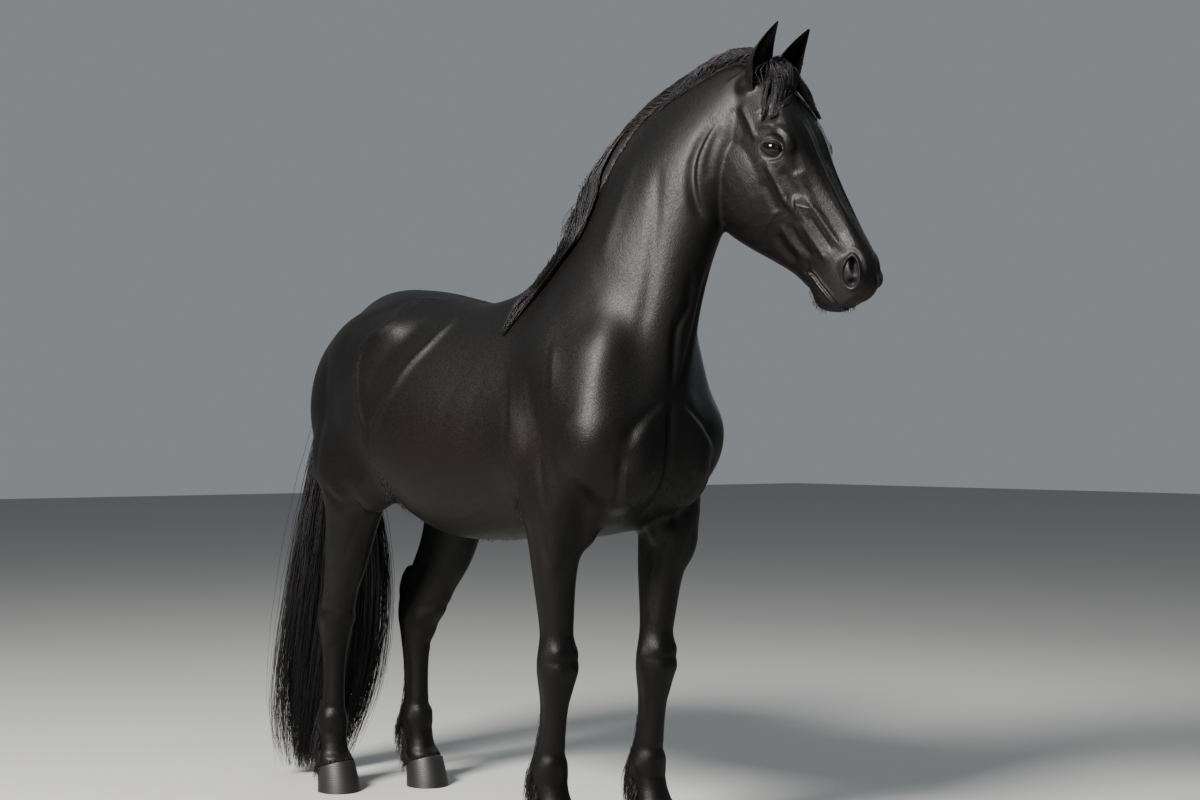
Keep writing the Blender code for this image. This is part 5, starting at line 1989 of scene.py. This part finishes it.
def forelock_hair():
    parts = []
    for rows, strands in zip(FORELOCK, FORELOCK_STRANDS):
        locks = strands // 22
        lock_of = chance.integers(0, locks, strands)
        shares = np.linspace(0, 1, FORELOCK_STEPS)[None]
        root = chance.uniform(0, 0.16, strands)
        end = chance.normal(0.82, 0.15, locks)[lock_of] + chance.normal(0, 0.04, strands)
        end = np.clip(end, 0.40, 1.02)
        table = drawn_rows(metres(rows), root[:, None] + (end - root)[:, None] * shares)
        turn, out = chance.uniform(0, math.tau, locks), np.sqrt(chance.random(locks))
        spread = chance.normal(0, 0.14, (strands, 2))
        spread[chance.random(strands) < 0.08] *= 2.2
        local = table[..., :3]
        wave_a, wave_b = lock_waves(locks, lock_of, run_of(local), 0.0042, 0.085, 0.35)
        fan = 1.55 - 0.95 * shares ** 1.5
        across = ((np.cos(turn) * out)[lock_of] + spread[:, 0])[:, None] * table[..., 4] * fan + wave_a
        above = ((np.sin(turn) * out)[lock_of] + spread[:, 1])[:, None] * table[..., 3] + wave_b
        local = local + np.stack([across * 0.45, -above, across * 0.85], axis=-1)
        curves = np.array(on_head(0, 0, 0)) + local @ np.array([FACE, JAW, HEAD_LEFT])
        clear = 0.001 + 0.006 * chance.random(locks)[lock_of][:, None]
        curves = eased(lifted_clear(curves, clear), 2)
        thick = tapering(0.0007, 0.0012, strands, shares)
        parts.append((curves, thick, chance.random(locks)[lock_of]))
    curves, thick, tone = (np.concatenate(column) for column in zip(*parts))
    patch = tile_unwrap(curves[:, 0], on_head(-0.05, 0.10, 0), on_head(0.25, 0.10, 0), FORELOCK_PATCH)
    return rods("forelock_hair", curves, thick, patch, tone)


finish_hair("forelock_hair", forelock_hair(), "forelock")


# ---------------------------------------------------------------- feather and tufts
# Longer hair behind the cannons and fetlocks lies down the back of the leg and stands away over the heels.
# Short tufts break the form at the ears, chin, jaw, elbows, breast and flanks.


OVER_FLOOR = 0.008
TUFT_WIDTH = 0.011  # strands rooted in one cell of this width swing together


def short_hair(roots, out, flow, long, stand, thick, curl=0.10, steps=7):
    """Strands that leave the skin along out and bend over to flow."""
    shares = np.linspace(0, 1, steps)[None, :, None]
    cell = np.floor(roots / TUFT_WIDTH).astype(int)
    same = (cell[:, 0] * 73856093) ^ (cell[:, 1] * 19349663) ^ (cell[:, 2] * 83492791)
    swing = np.stack([np.sin(same * 0.37), np.cos(same * 0.73), np.sin(same * 1.31)], axis=1)[:, None]
    lie = flow + out[:, None] * stand * (1.3 - 0.9 * shares) + swing * curl * (0.4 + shares)
    curves = roots[:, None] + lie * long * shares
    curves[..., 2] = np.maximum(curves[..., 2], OVER_FLOOR)
    curves[:, 1:] = lifted_clear(curves[:, 1:], 0.0010)
    return eased(curves, 1), thick[:, None] * (1 - TIP_TAPER * shares[..., 0] ** 2)


DOWN = np.array([0.0, 0.0, -1.0])


def rooted(pool, count, scatter, weight=None):
    """Roots of strands at a choice of the skin's corners: which corners, their places and their facing."""
    chosen = chance.choice(pool, count, p=weight)
    return chosen, skin_points[chosen] + chance.normal(0, scatter, (count, 3)), skin_normals[chosen]


def short_piece(name, found, start, end, tile, brightest):
    """One piece of hair from several patches of short strands."""
    curves, thick = (np.concatenate(column) for column in zip(*found))
    patch = tile_unwrap(curves[:, 0], start, end, tile)
    finish_hair(name, rods(name, curves, thick, patch, chance.random(len(curves)) * brightest), None)


FEATHER_STRANDS = 760
FEATHER_TILES = {"front_left": 0.0, "front_right": 0.25, "hind_left": 0.5, "hind_right": 0.75}


def feather_hair(name, stance):
    """Strands rooted on the back of one lower leg."""
    side, ahead = foot_place(stance)
    foot = np.array(at(side, ahead, 0.12))
    up = skin_points[:, 2]
    near = (np.hypot(skin_points[:, 0] - foot[0], skin_points[:, 1] - foot[1]) < 0.14) & (up < 0.40)
    back = skin_normals[:, 1] > np.interp(up, [0.08, 0.14, 0.30, 0.40], [-0.15, 0.10, 0.45, 0.80])
    pool = np.flatnonzero(near & back & (up > 0.085))
    weight = np.interp(up[pool], [0.08, 0.13, 0.22, 0.30, 0.40], [0.8, 1.0, 1.0, 0.35, 0.12])
    _, roots, out = rooted(pool, FEATHER_STRANDS, 0.0025, weight / weight.sum())
    long = np.interp(roots[:, 2], [0.08, 0.16, 0.24, 0.40], [0.050, 0.085, 0.080, 0.045])
    long = long * chance.uniform(0.7, 1.15, len(long))
    long = np.minimum(long, roots[:, 2] - 0.012)[:, None, None]
    stand = np.interp(roots[:, 2], [0.08, 0.13, 0.20, 0.40], [0.32, 0.38, 0.26, 0.12])[:, None, None]
    thick = chance.uniform(0.0006, 0.0010, len(roots))
    hair = short_hair(roots, out, DOWN, long, stand, thick)
    tile = (FEATHER_TILES[name] + 0.01, 0.65, FEATHER_TILES[name] + 0.23, 0.95)
    short_piece("feather_" + name, [hair], at(side, ahead, 0.45), at(side, ahead, 0.05), tile, 1.0)


for name, stance in STANCES.items():
    feather_hair(name, stance)


FRINGE_STRANDS = 480


def coronet_fringe():
    """Short hair that hangs over the top of each hoof, all round."""
    found = []
    for stance in STANCES.values():
        foot = np.array(at(*foot_place(stance), 0.09))
        offset = skin_points - foot
        over = skin_points[:, 2] - (CORONET_UP + CORONET_SLOPE * -offset[:, 1])
        near = np.hypot(offset[:, 0], offset[:, 1]) < 0.10
        pool = np.flatnonzero(near & (over > 0.002) & (over < 0.016) & (np.abs(skin_normals[:, 2]) < 0.8))
        _, roots, out = rooted(pool, FRINGE_STRANDS, 0.0015)
        long = chance.uniform(0.014, 0.030, FRINGE_STRANDS)[:, None, None]
        thick = chance.uniform(0.0004, 0.0007, FRINGE_STRANDS)
        found.append(short_hair(roots, out, DOWN, long, 0.16, thick, 0.08, 5))
    short_piece("coronet_fringe", found, at(0, 0.9, 0.1), at(0, -1.3, 0.1), (0.35, 0.62, 0.65, 0.64), 0.6)


coronet_fringe()
TUFT_STRANDS = 420


def ear_tufts():
    """Down inside the ears and a fringe along their rims."""
    found = []
    for left in (1, -1):
        root, axis, opening = ear_frame(left)
        across = np.array(axis.cross(opening))
        root, axis, opening = np.array(root), np.array(axis), np.array(opening)
        offset = skin_points - root
        along, front, side = offset @ axis, offset @ opening, offset @ across
        inside = (along > 0.010) & (along < 0.110) & (np.abs(side) < 0.040) & (np.abs(front) < 0.05)
        pool = np.flatnonzero(inside & (skin_normals @ opening > 0.25))
        chosen, roots, out = rooted(pool, TUFT_STRANDS, 0.0015)
        centre = -np.sign(side[chosen])[:, None] * across
        flow = (axis * 0.8 + opening * 0.45 + centre * 0.25)[:, None]
        long = np.interp(along[chosen], [0.01, 0.06, 0.11], [0.030, 0.026, 0.012])
        long = (long * chance.uniform(0.6, 1.2, TUFT_STRANDS))[:, None, None]
        thick = chance.uniform(0.0004, 0.0007, TUFT_STRANDS)
        found.append(short_hair(roots, out, flow, long, 0.25, thick))
    tile = (0.70, 0.32, 0.95, 0.60)
    short_piece("ear_tufts", found, on_head(-0.05, 0.10, 0), on_head(0.25, 0.10, 0), tile, 0.8)


ear_tufts()

# place, reach, flow, length, how far it stands off, strands
TUFT_PLACES = (
    (on_head(0.606, 0.205, 0.0), 0.036, (0, 0.3, -1.0), 0.010, 0.6, 70),
    (on_head(0.645, 0.150, 0.0), 0.040, (0, -0.2, -1.0), 0.008, 0.8, 40),
    (at(0.17, 0.03, 0.93), 0.060, (0, 0.5, -0.9), 0.012, 0.25, 220),
    (at(-0.17, 0.03, 0.93), 0.060, (0, 0.5, -0.9), 0.012, 0.25, 220),
    (at(0.0, 0.36, 0.95), 0.090, (0, 0.4, -0.9), 0.010, 0.25, 260),
    (at(0.20, -0.60, 0.98), 0.080, (0, -0.3, -0.9), 0.012, 0.25, 240),
    (at(-0.20, -0.60, 0.98), 0.080, (0, -0.3, -0.9), 0.012, 0.25, 240),
    (at(0.0, -0.35, 0.88), 0.260, (0, 0.7, -0.6), 0.010, 0.25, 420),
)


def body_tufts():
    found = []
    for place, reach, flow, length, stand, count in TUFT_PLACES:
        gap = np.linalg.norm(skin_points - np.array(place), axis=1)
        _, roots, out = rooted(np.flatnonzero(gap < reach), count, 0.002)
        long = (length * chance.uniform(0.5, 1.2, count))[:, None, None]
        thick = chance.uniform(0.0004, 0.0006, count)
        found.append(short_hair(roots, out, np.array(flow), long, stand, thick, 0.15, 6))
    short_piece("body_tufts", found, at(0, 0.9, 1.2), at(0, -0.9, 1.2), (0.02, 0.32, 0.30, 0.60), 0.6)


body_tufts()
